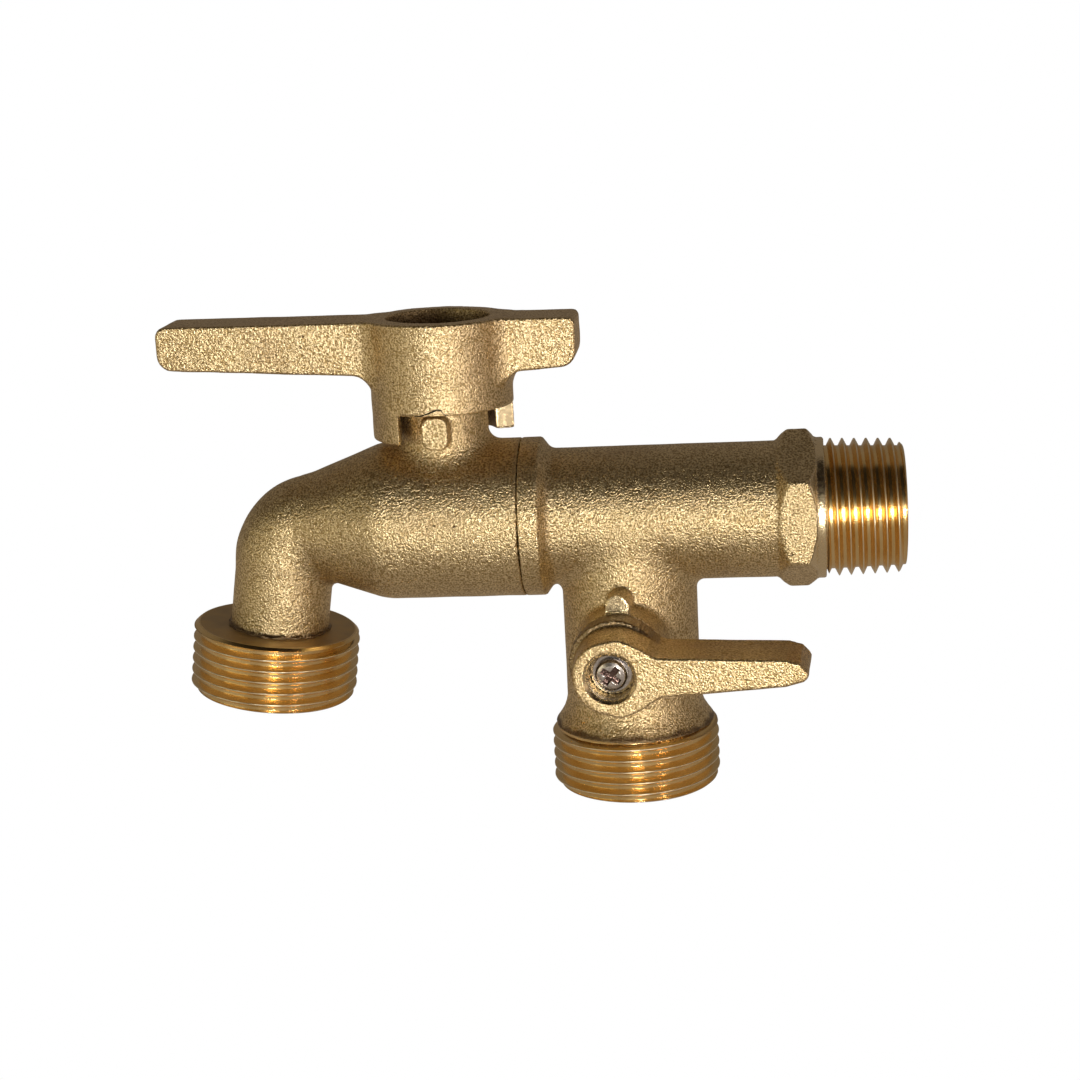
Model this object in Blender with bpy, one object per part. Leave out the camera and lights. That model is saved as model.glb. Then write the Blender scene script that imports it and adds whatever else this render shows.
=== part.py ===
# Hose bib: a brass garden tap with two ball valves and two hose outlets.
#
# Frame: +X points along the inlet thread towards the wall it screws into, +Z is up,
# and the origin is the middle of the inlet thread's end face. The user stands on the -Y side.
# Rest pose: main handle open (in line with the body), branch lever closed (level).
#
# Every dimension below is in millimetres. The pieces are modelled in them and turned into metres at the end.

import math

import bmesh
import bpy
from mathutils import Matrix, Vector

MM = 0.001
SEG = 48
GAP = 0.3  # running and seating clearance between two pieces

# Threads: ISO 7 R 1/2 on the inlet, ISO 228 G 3/4 on both outlets
PITCH = 1.814
R12_MAJOR_R = 10.4775
R12_GAUGE_X = 36.8  # station of the gauge plane, from the tee's centre
R12_DEPTH = 1.162
G34_MAJOR_R = 13.2205
G34_DEPTH = 1.162

# Stations along the body, measured from the tee's centre
X_ORIGIN = 42.7  # inlet end face
X_THREAD0 = 30.6
X_HEX0, X_HEX1 = 23.3, 29.3
X_COLLAR0, X_COLLAR1 = -15.85, -12.7
X_SPIGOT = -19.3
TUBE_R = 10.52
COLLAR_R = 12.36
HEX_CORNER_R = 12.55
INLET_BORE_R = 7.25

# Branch
BRANCH_R = 10.54
Z_FLARE0, Z_FLARE1 = -29.6, -33.0
Z_THREAD0, Z_THREAD1 = -34.0, -43.3
BRANCH_BORE_R = 4.6
OUTLET_BORE_R = 9.3
BRANCH_YAW = math.radians(4.2)  # the side valve faces slightly towards the spout
Z_BRANCH_VALVE = -18.8
BRANCH_NECK_R, BRANCH_NECK_T = 7.0, 15.4
BRANCH_BALL_R, BRANCH_BALL_BORE_R = 6.3, 4.0
BRANCH_CHAMBER_R = 7.0

# Main valve
X_VALVE = -27.7
BODY_R = 12.36
X_BODY0, X_BODY1 = -38.0, -16.15
NECK_R, NECK_TOP = 6.85, 20.6
MAIN_BALL_R, MAIN_BALL_BORE_R = 8.5, 5.75
CHAMBER_R = 9.2
SOCKET_R = 10.35

# Elbow and spout
ELBOW_C = (-48.6, -5.9)
ELBOW_R, ELBOW_TUBE_R = 5.9, 7.8
SPOUT_R, SPOUT_BORE_R = 7.75, 5.6
SPOUT_TILT = math.radians(8.14)
OUTLET_C = (-57.457, -22.0)  # a point on the outlet collar's axis
OUTLET_S0, OUTLET_S1 = -5.5, 5.33

# T-handle
HUB_R, HUB_BORE_R = 11.0, 8.05
SKIRT_Z, WINDOW_Z = 13.6, 18.2
WINDOW_A0, WINDOW_A1 = 241.0, 373.0
WEB_Z0, WEB_Z1 = 21.0, 23.5
HANDLE_TOP = 32.0
HANDLE_TILT = 0.0125  # the top falls this much per mm towards the inlet
X_LONG_TIP, X_SHORT_TIP = -71.0, -6.3
ARM_HALF_Y = 5.0

# Lever
LEVER_FRONT, LEVER_BACK = 26.2, 15.75
LEVER_HUB_R0, LEVER_HUB_R1, LEVER_SKIRT_R = 5.6, 6.1, 7.0
LEVER_TIP = 29.0
STOP_R0, STOP_R1 = 3.9, 5.6  # quarter-turn stop between the branch neck and the lever


def mesh_object(name, bm):
    bmesh.ops.recalc_face_normals(bm, faces=bm.faces)
    mesh = bpy.data.meshes.new(name)
    bm.to_mesh(mesh)
    bm.free()
    obj = bpy.data.objects.new(name, mesh)
    bpy.context.scene.collection.objects.link(obj)
    return obj


def frame_of(axis):
    """Two directions that make a right-handed set with the axis."""
    axis = Vector(axis).normalized()
    side = Vector((0, 1, 0)) if abs(axis.y) < 0.9 else Vector((0, 0, 1))
    u = side.cross(axis).normalized()
    return axis, u, axis.cross(u)


def lathe(name, centre, axis, profile, seg=SEG, phase=0.0):
    """Closed solid of revolution from (station, radius) pairs; a radius of 0 closes an end on the axis."""
    axis, u, v = frame_of(axis)
    centre = Vector(centre)
    bm = bmesh.new()
    rings = []
    for s, r in profile:
        if r <= 1e-6:
            rings.append([bm.verts.new(centre + axis * s)])
        else:
            rings.append([
                bm.verts.new(centre + axis * s + (u * math.cos(t) + v * math.sin(t)) * r)
                for t in (phase + 2 * math.pi * k / seg for k in range(seg))
            ])
    for a, b in zip(rings, rings[1:]):
        if len(a) == 1:
            for k in range(seg):
                bm.faces.new((a[0], b[k], b[(k + 1) % seg]))
        elif len(b) == 1:
            for k in range(seg):
                bm.faces.new((a[(k + 1) % seg], a[k], b[0]))
        else:
            for k in range(seg):
                bm.faces.new((a[k], a[(k + 1) % seg], b[(k + 1) % seg], b[k]))
    return mesh_object(name, bm)


def rod(name, centre, axis, s0, s1, r, seg=SEG):
    return lathe(name, centre, axis, [(s0, 0), (s0, r), (s1, r), (s1, 0)], seg)


def ring(name, centre, axis, profile, seg=SEG):
    """Closed ring: the (station, radius) loop is joined end to start."""
    axis, u, v = frame_of(axis)
    centre = Vector(centre)
    bm = bmesh.new()
    loops = [
        [
            bm.verts.new(centre + axis * s + (u * math.cos(t) + v * math.sin(t)) * r)
            for t in (2 * math.pi * k / seg for k in range(seg))
        ]
        for s, r in profile
    ]
    for a, b in zip(loops, loops[1:] + loops[:1]):
        for k in range(seg):
            bm.faces.new((a[k], a[(k + 1) % seg], b[(k + 1) % seg], b[k]))
    return mesh_object(name, bm)


def torus(name, centre, axis, major, minor, seg=32, around=8):
    return ring(name, centre, axis, [
        (minor * math.sin(2 * math.pi * k / around), major + minor * math.cos(2 * math.pi * k / around))
        for k in range(around)
    ], seg)


def prism(name, outline, origin, u, v, w, w0, w1):
    """Outline points (a, b) on the u, v axes, extruded along w."""
    origin, u, v, w = Vector(origin), Vector(u), Vector(v), Vector(w)
    bm = bmesh.new()
    near = [bm.verts.new(origin + u * a + v * b + w * w0) for a, b in outline]
    far = [bm.verts.new(origin + u * a + v * b + w * w1) for a, b in outline]
    bm.faces.new(near)
    bm.faces.new(list(reversed(far)))
    n = len(outline)
    for k in range(n):
        bm.faces.new((near[k], near[(k + 1) % n], far[(k + 1) % n], far[k]))
    return mesh_object(name, bm)


def hull(name, points):
    bm = bmesh.new()
    for p in points:
        bm.verts.new(Vector(p))
    result = bmesh.ops.convex_hull(bm, input=bm.verts)
    bmesh.ops.delete(bm, geom=[g for g in result["geom_interior"] if isinstance(g, bmesh.types.BMVert)], context="VERTS")
    return mesh_object(name, bm)


def circle_points(centre, axis, r, seg=SEG):
    axis, u, v = frame_of(axis)
    return [
        Vector(centre) + (u * math.cos(2 * math.pi * k / seg) + v * math.sin(2 * math.pi * k / seg)) * r
        for k in range(seg)
    ]


def ball(name, centre, r, seg=40, rings=18):
    return lathe(name, centre, (0, 0, 1), [
        (-r * math.cos(math.pi * k / rings), r * math.sin(math.pi * k / rings) if 0 < k < rings else 0)
        for k in range(rings + 1)
    ], seg)


def combine(obj, others, operation):
    """One exact Boolean with every other object at once, so that nothing is rounded in between."""
    group = bpy.data.collections.new("tools")
    bpy.context.scene.collection.children.link(group)
    for other in others:
        bpy.context.scene.collection.objects.unlink(other)
        group.objects.link(other)
    modifier = obj.modifiers.new(operation.lower(), "BOOLEAN")
    modifier.operation = operation
    modifier.solver = "EXACT"
    modifier.operand_type = "COLLECTION"
    modifier.collection = group
    graph = bpy.context.evaluated_depsgraph_get()
    result = bpy.data.meshes.new_from_object(obj.evaluated_get(graph))
    obj.modifiers.clear()
    old = obj.data
    obj.data = result
    bpy.data.meshes.remove(old)
    for other in others:
        tool = other.data
        bpy.data.objects.remove(other)
        bpy.data.meshes.remove(tool)
    bpy.data.collections.remove(group)
    bm = bmesh.new()
    bm.from_mesh(obj.data)
    bmesh.ops.remove_doubles(bm, verts=bm.verts, dist=0.0005)
    bmesh.ops.dissolve_degenerate(bm, edges=bm.edges, dist=0.0005)
    bm.to_mesh(obj.data)
    bm.free()
    return obj


def join(obj, *others):
    return combine(obj, others, "UNION")


def cut(obj, *others):
    return combine(obj, others, "DIFFERENCE")


def keep(obj, other):
    return combine(obj, [other], "INTERSECT")


def thread_profile(s0, s1, radius_at, depth, first, step=PITCH):
    """Rings that stand for a 55 degree thread between two stations."""
    out = []
    s = first
    while s < s1 - 0.35 * step:
        out += [(s, radius_at(s) - depth), (s + 0.5 * step, radius_at(s + 0.5 * step))]
        s += step
    return out


def sector(name, origin, u, v, w, r0, r1, a0, a1, w0, w1, steps=12):
    """Part of a ring between two angles, measured from u towards v."""
    outer = [math.radians(a0 + (a1 - a0) * k / steps) for k in range(steps + 1)]
    outline = [(r1 * math.cos(t), r1 * math.sin(t)) for t in outer]
    outline += [(r0 * math.cos(t), r0 * math.sin(t)) for t in reversed(outer)]
    return prism(name, outline, origin, u, v, w, w0, w1)


def principled(name, colour, metallic, roughness):
    material = bpy.data.materials.new(name)
    material.use_nodes = True
    shader = material.node_tree.nodes["Principled BSDF"]
    shader.inputs["Base Color"].default_value = (*colour, 1)
    shader.inputs["Metallic"].default_value = metallic
    shader.inputs["Roughness"].default_value = roughness
    material.diffuse_color = (*colour, 1)
    return material


for old in list(bpy.data.objects):
    bpy.data.objects.remove(old)

X, Y, Z = (1, 0, 0), (0, 1, 0), (0, 0, 1)
NODES = {}

# ---------------------------------------------------------------- inlet and tee casting


def r12(x):
    return R12_MAJOR_R + (R12_GAUGE_X - x) / 32


tee = lathe("tee", (0, 0, 0), X, [
    (X_SPIGOT, 0),
    (X_SPIGOT, 9.6), (X_SPIGOT + 0.4, 10.0),
    (-18.55, 10.0), (-18.55, 8.45), (-16.65, 8.45), (-16.65, 10.0),
    (X_COLLAR0, 10.0), (X_COLLAR0, COLLAR_R),
    (X_COLLAR1, COLLAR_R), (-11.5, TUBE_R),
    (X_HEX0 + 1.0, TUBE_R), (X_HEX0 + 1.0, 10.95), (X_THREAD0, 10.95), (X_THREAD0 + 0.1, r12(X_THREAD0) - R12_DEPTH),
    *thread_profile(X_THREAD0, X_ORIGIN - 0.9, r12, R12_DEPTH, 31.1),
    (X_ORIGIN - 0.9, r12(X_ORIGIN) - 0.35), (X_ORIGIN, r12(X_ORIGIN) - 1.15), (X_ORIGIN, 0),
])
hexagon = prism(
    "hexagon",
    [(HEX_CORNER_R * math.cos(math.radians(a)), HEX_CORNER_R * math.sin(math.radians(a))) for a in range(30, 390, 60)],
    (0, 0, 0), Y, Z, X, X_HEX0, X_HEX1,
)
keep(hexagon, lathe("hexagon_chamfer", (0, 0, 0), X, [
    (X_HEX0 - 0.01, 0), (X_HEX0 - 0.01, 10.7), (X_HEX0 + 1.6, 12.6), (X_HEX1 - 1.3, 12.6), (X_HEX1 + 0.01, 11.0), (X_HEX1 + 0.01, 0),
]))
branch = lathe("branch", (0, 0, 0), (0, 0, -1), [
    (1.0, 0), (1.0, 9.6), (4.0, 9.9), (9.5, BRANCH_R), (-Z_FLARE0, BRANCH_R), (31.6, 11.05), (-Z_FLARE1, 11.9),
    (33.3, 12.6), (-Z_THREAD0, 13.0),
    *thread_profile(-Z_THREAD0, -Z_THREAD1 - 0.7, lambda s: G34_MAJOR_R, G34_DEPTH, 34.75),
    (-Z_THREAD1 - 0.75, G34_MAJOR_R - 0.1), (-Z_THREAD1, G34_MAJOR_R - 0.95), (-Z_THREAD1, 0),
])
OUT = (-math.sin(BRANCH_YAW), -math.cos(BRANCH_YAW), 0)  # the branch stem's axis, outwards
SIDE = (math.cos(BRANCH_YAW), -math.sin(BRANCH_YAW), 0)  # the lever's direction at rest
VALVE_B = (0, 0, Z_BRANCH_VALVE)
branch_neck = rod("branch_neck", VALVE_B, OUT, 0.0, BRANCH_NECK_T, BRANCH_NECK_R)
branch_lug = prism(
    "branch_lug",
    [(1.83, 5.0), (1.83, 7.77)] + [(1.83 * math.cos(math.radians(a)), 7.77 + 1.83 * math.sin(math.radians(a))) for a in range(15, 180, 15)] + [(-1.83, 7.77), (-1.83, 5.0)],
    VALVE_B, SIDE, Z, OUT, 4.0, BRANCH_NECK_T - 0.15,
)
branch_stop = sector("branch_stop", VALVE_B, SIDE, Z, OUT, STOP_R0, STOP_R1, 70, 110, BRANCH_NECK_T - 1.0, BRANCH_NECK_T + 1.2, 6)
join(tee, hexagon, branch, branch_neck, branch_lug, branch_stop)
cut(
    tee,
    rod("inlet_bore", (0, 0, 0), X, X_SPIGOT - 1, X_ORIGIN + 1, INLET_BORE_R),
    lathe("branch_bore", (0, 0, 0), (0, 0, -1), [
        (0.5, 0), (0.5, BRANCH_BORE_R), (12.3, BRANCH_BORE_R), (12.3, BRANCH_CHAMBER_R), (29.6, BRANCH_CHAMBER_R),
        (32.0, OUTLET_BORE_R), (42.6, OUTLET_BORE_R), (44.0, OUTLET_BORE_R + 1.4), (44.0, 0),
    ]),
    lathe("branch_stem_bore", VALVE_B, OUT, [
        (3.0, 0), (3.0, 3.4), (8.9, 3.4), (8.9, 3.0), (BRANCH_NECK_T + 3, 3.0), (BRANCH_NECK_T + 3, 0),
    ]),
)
NODES["inlet_tee_body"] = tee

# ---------------------------------------------------------------- spout casting

spout = rod("spout", (0, 0, 0), X, X_BODY0, X_BODY1, BODY_R)
c1 = (ELBOW_C[0] - ELBOW_R * math.sin(math.radians(19.6)), 0, ELBOW_C[1] + ELBOW_R * math.cos(math.radians(19.6)))
a2 = math.radians(24.0)  # the cone runs a little way into the elbow
c2 = (ELBOW_C[0] - ELBOW_R * math.sin(a2), 0, ELBOW_C[1] + ELBOW_R * math.cos(a2))
cone = hull("cone", circle_points((X_BODY0 + 0.2, 0, 0), X, BODY_R) + circle_points(c2, (math.cos(a2), 0, math.sin(a2)), ELBOW_TUBE_R - 0.06))
elbow_points = []
for k in range(8):
    a = math.radians(19.6 + (81.9 - 19.6) * k / 7)
    middle = (ELBOW_C[0] - ELBOW_R * math.sin(a), 0, ELBOW_C[1] + ELBOW_R * math.cos(a))
    elbow_points += circle_points(middle, (math.cos(a), 0, math.sin(a)), ELBOW_TUBE_R)
elbow = hull("elbow", elbow_points)
DOWN = Vector((-math.sin(SPOUT_TILT), 0, -math.cos(SPOUT_TILT)))
OUTLET = Vector((OUTLET_C[0], 0, OUTLET_C[1]))
tube_top = Vector((-54.45, 0, -5.07))
tube_end = OUTLET + DOWN * (OUTLET_S0 + 1.0) + Vector((0.35, 0, 0))
tube_dir = (tube_end - tube_top).normalized()
tube = rod("tube", tube_top, tube_dir, -0.6, (tube_end - tube_top).length, SPOUT_R)
collar = lathe("collar", OUTLET, DOWN, [
    (OUTLET_S0, 0), (OUTLET_S0, 12.5), (OUTLET_S0 + 0.6, G34_MAJOR_R), (-4.5, G34_MAJOR_R),
    *thread_profile(-4.5, OUTLET_S1 - 0.7, lambda s: G34_MAJOR_R, G34_DEPTH, -3.9),
    (OUTLET_S1 - 0.75, G34_MAJOR_R - 0.1), (OUTLET_S1, 12.3), (OUTLET_S1, 0),
])
neck = lathe("neck", (X_VALVE, 0, 0), Z, [(0, 0), (0, 8.6), (10.4, 8.6), (12.4, NECK_R), (NECK_TOP - 0.4, NECK_R), (NECK_TOP, NECK_R - 0.4), (NECK_TOP, 0)])
lug = prism(
    "lug",
    [(-2.07, -1.5), (-1.1, -2.53), (1.1, -2.53), (2.07, -1.5), (2.07, 1.5), (1.1, 2.53), (-1.1, 2.53), (-2.07, 1.5)],
    (X_VALVE - 0.3, 0, 15.17), X, Z, (0, -1, 0), 5.0, 9.0,
)
join(spout, cone, elbow, tube, collar, neck, lug)
waterway = rod("waterway", (0, 0, 0), X, c1[0] - 0.2, -35.0, SPOUT_BORE_R + 0.15, 32)
bend_points = []
for k in range(6):
    a = math.radians(2 + (81.9 - 2) * k / 5)
    middle = (ELBOW_C[0] - ELBOW_R * math.sin(a), 0, ELBOW_C[1] + ELBOW_R * math.cos(a))
    bend_points += circle_points(middle, (math.cos(a), 0, math.sin(a)), SPOUT_BORE_R, 32)
bend = hull("bend", bend_points)
tube_bore = rod("tube_bore", tube_top, tube_dir, -1.3, (tube_end - tube_top).length + 6, SPOUT_BORE_R - 0.15, 32)
cut(
    spout, waterway, bend, tube_bore,
    lathe("outlet_bore", OUTLET, DOWN, [
        (-2.6, 0), (-2.6, SPOUT_BORE_R - 0.3), (-0.6, OUTLET_BORE_R), (OUTLET_S1 - 0.6, OUTLET_BORE_R), (OUTLET_S1 + 0.6, OUTLET_BORE_R + 1.2), (OUTLET_S1 + 0.6, 0),
    ]),
    lathe("chamber", (X_VALVE, 0, 0), X, [
        (-8.4, 0), (-8.4, CHAMBER_R), (8.0, CHAMBER_R), (8.0, SOCKET_R), (13.0, SOCKET_R), (13.0, 0),
    ]),
    lathe("stem_bore", (X_VALVE, 0, 0), Z, [
        (5.0, 0), (5.0, 4.8), (11.4, 4.8), (11.4, 4.0), (NECK_TOP + 2, 4.0), (NECK_TOP + 2, 0),
    ]),
)
NODES["spout_body"] = spout

NODES["body_joint_seal"] = torus("body_joint_seal", (-17.6, 0, 0), X, 9.4, 0.62, 40)

# ---------------------------------------------------------------- main valve

VALVE = (X_VALVE, 0, 0)


def seat(name, centre, axis, near, far, r_near, s_mid, r_in, r_out):
    return ring(name, centre, axis, [(near, r_near), (near, r_out), (far, r_out), (far, r_in), (s_mid, r_in)], 40)


main_ball = ball("main_ball", VALVE, MAIN_BALL_R)
cut(
    main_ball,
    rod("main_ball_bore", VALVE, X, -10, 10, MAIN_BALL_BORE_R, 36),
    prism("main_ball_slot", [(-10, 6.35), (10, 6.35), (10, 10), (-10, 10)], VALVE, X, Z, Y, -1.7, 1.7),
)
NODES["main_ball"] = main_ball
NODES["main_seat_inlet_side"] = seat("main_seat_inlet_side", VALVE, X, 5.6, 8.1, 6.75, 6.55, 5.95, 8.85)
NODES["main_seat_spout_side"] = seat("main_seat_spout_side", VALVE, (-1, 0, 0), 5.6, 8.1, 6.75, 6.55, 5.95, 8.85)


def stem(name, centre, axis, side, tang, tang0, shoulder0, shoulder1, shoulder_r, shaft_r, shaft1, grooves, groove_r, groove_w, square, end, hole_r, hole0):
    profile = [(shoulder0, 0), (shoulder0, shoulder_r), (shoulder1, shoulder_r), (shoulder1, shaft_r)]
    for g in grooves:
        profile += [(g - groove_w / 2, shaft_r), (g - groove_w / 2, groove_r), (g + groove_w / 2, groove_r), (g + groove_w / 2, shaft_r)]
    profile += [(end, shaft_r), (end, 0)]
    body = lathe(name, centre, axis, profile, 32)
    axis_v, side_v = Vector(axis).normalized(), Vector(side).normalized()
    third = axis_v.cross(side_v)
    blade = prism(name + "_tang", [(-tang[0], -tang[1]), (tang[0], -tang[1]), (tang[0], tang[1]), (-tang[0], tang[1])], centre, side_v, third, axis_v, tang0, shoulder0 + 0.5)
    join(body, blade)
    cutters = [rod(name + "_hole", centre, axis, hole0, end + 2, hole_r, 24)]
    for sign in (1, -1):
        for direction in (side_v, third):
            across = axis_v.cross(direction)
            cutters.append(prism(name + "_flat", [(-8, square), (8, square), (8, square + 6), (-8, square + 6)], centre, across, direction * sign, axis_v, shaft1, end + 2))
    return cut(body, *cutters)


NODES["main_stem"] = stem(
    "main_stem", VALVE, Z, X, (3.5, 1.4), 6.65, 8.8, 10.1, 4.5, 3.3, 20.9, (13.9, 16.6), 2.1, 1.9, 2.4, 23.2, 1.9, 18.4,
)
NODES["main_stem_thrust_washer"] = ring("main_stem_thrust_washer", VALVE, Z, [(10.4, 3.65), (10.4, 4.5), (11.1, 4.5), (11.1, 3.65)], 32)
NODES["main_stem_oring_lower"] = torus("main_stem_oring_lower", (X_VALVE, 0, 13.9), Z, 3.05, 0.62)
NODES["main_stem_oring_upper"] = torus("main_stem_oring_upper", (X_VALVE, 0, 16.6), Z, 3.05, 0.62)

# T-handle: a hollow hub with a skirt, a long arm towards the spout and a short arm towards the inlet
hub = rod("hub", VALVE, Z, SKIRT_Z, HANDLE_TOP + 2, HUB_R, 64)


def arm(name, outline, half):
    obj = prism(name, outline, (0, 0, 0), X, Z, Y, -half, half)
    bm = bmesh.new()
    bm.from_mesh(obj.data)
    bmesh.ops.bevel(bm, geom=list(bm.edges), offset=1.0, segments=2, profile=0.6, affect="EDGES", clamp_overlap=True)
    bm.to_mesh(obj.data)
    bm.free()
    return obj


def handle_top(x):
    return HANDLE_TOP - HANDLE_TILT * (x - X_VALVE)


long_arm = arm("long_arm", [
    (X_VALVE - 2, handle_top(X_VALVE - 2)), (X_LONG_TIP + 1.6, handle_top(X_LONG_TIP)), (X_LONG_TIP, handle_top(X_LONG_TIP) - 1.7),
    (X_LONG_TIP + 0.2, 27.6), (X_LONG_TIP + 1.9, 25.95), (-40.2, 23.7), (-36.9, 22.0), (X_VALVE - 2, 22.0),
], ARM_HALF_Y)
short_arm = arm("short_arm", [
    (X_VALVE + 2, handle_top(X_VALVE + 2)), (X_VALVE + 2, 22.2), (-17.6, 22.2), (-15.4, 23.5), (-9.5, 24.05), (-7.2, 25.0), (X_SHORT_TIP, 27.2),
    (X_SHORT_TIP, handle_top(X_SHORT_TIP) - 1.5), (X_SHORT_TIP - 1.5, handle_top(X_SHORT_TIP)),
], ARM_HALF_Y)
join(hub, long_arm, short_arm)
top_cutter = prism(
    "top_cutter",
    [(-90, handle_top(-90)), (10, handle_top(10)), (10, 60), (-90, 60)],
    (0, 0, 0), X, Z, Y, -30, 30,
)
window = sector("window", VALVE, X, Y, Z, 7.0, 14.0, WINDOW_A0, WINDOW_A1, SKIRT_Z - 1, WINDOW_Z, 16)
cut(
    hub, top_cutter, window,
    rod("hub_bore", VALVE, Z, WEB_Z1, HANDLE_TOP + 4, HUB_BORE_R),
    rod("skirt_bore", VALVE, Z, SKIRT_Z - 2, WEB_Z0, HUB_BORE_R),
    prism("hub_square", [(-2.7, -2.7), (2.7, -2.7), (2.7, 2.7), (-2.7, 2.7)], VALVE, X, Y, Z, WEB_Z0 - 2, WEB_Z1 + 2),
)
NODES["main_handle"] = hub
NODES["main_handle_washer"] = ring("main_handle_washer", VALVE, Z, [(23.8, 1.95), (23.8, 5.5), (24.6, 5.5), (24.6, 1.95)], 32)
screw = lathe("main_handle_screw", VALVE, Z, [
    (18.8, 0), (18.8, 1.3), (19.1, 1.6), (24.9, 1.6), (24.9, 3.4), (26.3, 3.4), (27.1, 2.7), (27.1, 0),
], 32)
cut(screw, *[
    prism("screw_slot", [(-1.9, -0.35), (1.9, -0.35), (1.9, 0.35), (-1.9, 0.35)], VALVE, (math.cos(t), math.sin(t), 0), (-math.sin(t), math.cos(t), 0), Z, 25.8, 28)
    for t in (math.radians(45), math.radians(135))
])
NODES["main_handle_screw"] = screw

# ---------------------------------------------------------------- branch valve

branch_ball = ball("branch_ball", VALVE_B, BRANCH_BALL_R, 36, 16)
cut(
    branch_ball,
    rod("branch_ball_bore", VALVE_B, SIDE, -8, 8, BRANCH_BALL_BORE_R, 32),
    prism("branch_ball_slot", [(-8, 4.6), (8, 4.6), (8, 8), (-8, 8)], VALVE_B, SIDE, OUT, Z, -1.3, 1.3),
)
NODES["branch_ball"] = branch_ball
NODES["branch_seat_upper"] = seat("branch_seat_upper", VALVE_B, Z, 4.0, 6.2, 5.25, 5.15, 4.2, 6.65)
NODES["branch_seat_lower"] = seat("branch_seat_lower", VALVE_B, (0, 0, -1), 4.0, 6.2, 5.25, 5.15, 4.2, 6.65)
retainer = rod("branch_ball_retainer", VALVE_B, (0, 0, -1), 6.5, 10.3, 6.65, 36)
cut(retainer, prism(
    "retainer_hex",
    [(5.0 * math.cos(math.radians(a)), 5.0 * math.sin(math.radians(a))) for a in range(0, 360, 60)],
    VALVE_B, X, Y, (0, 0, -1), 5.0, 12.0,
))
NODES["branch_ball_retainer"] = retainer
NODES["branch_stem"] = stem(
    "branch_stem", VALVE_B, OUT, SIDE, (2.3, 0.95), 4.9, 6.7, 7.7, 3.1, 2.3, 15.6, (10.6, 13.2), 1.42, 1.6, 1.75, 21.2, 1.4, 16.2,
)
NODES["branch_stem_thrust_washer"] = ring("branch_stem_thrust_washer", VALVE_B, OUT, [(8.0, 2.62), (8.0, 3.1), (8.6, 3.1), (8.6, 2.62)], 32)
out = Vector(OUT)
NODES["branch_stem_oring_inner"] = torus("branch_stem_oring_inner", Vector(VALVE_B) + out * 10.6, OUT, 2.21, 0.46)
NODES["branch_stem_oring_outer"] = torus("branch_stem_oring_outer", Vector(VALVE_B) + out * 13.2, OUT, 2.21, 0.46)

lever = lathe("lever", VALVE_B, OUT, [
    (LEVER_BACK, 0), (LEVER_BACK, LEVER_SKIRT_R - 0.3), (LEVER_BACK + 0.3, LEVER_SKIRT_R), (19.6, LEVER_SKIRT_R), (20.6, LEVER_HUB_R1),
    (LEVER_FRONT - 0.4, LEVER_HUB_R0 + 0.1), (LEVER_FRONT, LEVER_HUB_R0 - 0.3), (LEVER_FRONT, 0),
])
lever_arm = prism(
    "lever_arm",
    [(1.5, 4.6), (4.6, 3.75), (7.0, 3.15), (25.8, 2.85), (27.7, 2.3), (LEVER_TIP, 0.6), (28.2, -0.5), (25.6, -1.25), (13.5, -2.4), (7.6, -2.9), (4.6, -4.2), (1.5, -5.2)],
    VALVE_B, SIDE, Z, OUT, LEVER_BACK, LEVER_FRONT,
)
bm = bmesh.new()
bm.from_mesh(lever_arm.data)
bmesh.ops.bevel(bm, geom=[e for e in bm.edges if len(e.link_faces) == 2 and e.calc_face_angle(0) > 1.0], offset=0.45, segments=2, profile=0.6, affect="EDGES", clamp_overlap=True)
bm.to_mesh(lever_arm.data)
bm.free()
join(lever, lever_arm)
cut(
    lever,
    lathe("lever_recess", VALVE_B, OUT, [(22.4, 0), (22.4, 3.4), (25.7, 3.4), (26.6, 3.9), (26.6, 0)]),
    prism("lever_square", [(-2.07, -2.07), (2.07, -2.07), (2.07, 2.07), (-2.07, 2.07)], VALVE_B, SIDE, Z, OUT, LEVER_BACK - 1, 21.5),
    rod("lever_hole", VALVE_B, OUT, 20, 24, 1.45, 24),
    # the lever turns a quarter turn while the neck's stop runs from one end of this pocket to the other
    sector("lever_stop_pocket", VALVE_B, SIDE, Z, OUT, STOP_R0 - 0.3, STOP_R1 + 0.3, 70 - 92, 110 + 2, LEVER_BACK - 1, BRANCH_NECK_T + 1.6, 18),
)
NODES["branch_lever"] = lever
NODES["branch_lever_washer"] = ring("branch_lever_washer", VALVE_B, OUT, [(22.7, 1.45), (22.7, 2.9), (23.1, 2.9), (23.1, 1.45)], 32)
small_screw = lathe("branch_lever_screw", VALVE_B, OUT, [
    (16.8, 0), (16.8, 0.85), (17.05, 1.1), (23.4, 1.1), (23.4, 2.4), (24.2, 2.4), (24.75, 1.9), (24.75, 0),
], 32)
cut(small_screw, *[
    prism("small_screw_slot", [(-1.45, -0.32), (1.45, -0.32), (1.45, 0.32), (-1.45, 0.32)], VALVE_B,
          Vector(SIDE) * math.cos(t) + Vector(Z) * math.sin(t), Vector(Z) * math.cos(t) - Vector(SIDE) * math.sin(t), OUT, 23.9, 26)
    for t in (math.radians(50), math.radians(140))
])
NODES["branch_lever_screw"] = small_screw

# ---------------------------------------------------------------- names, materials, joints

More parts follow.
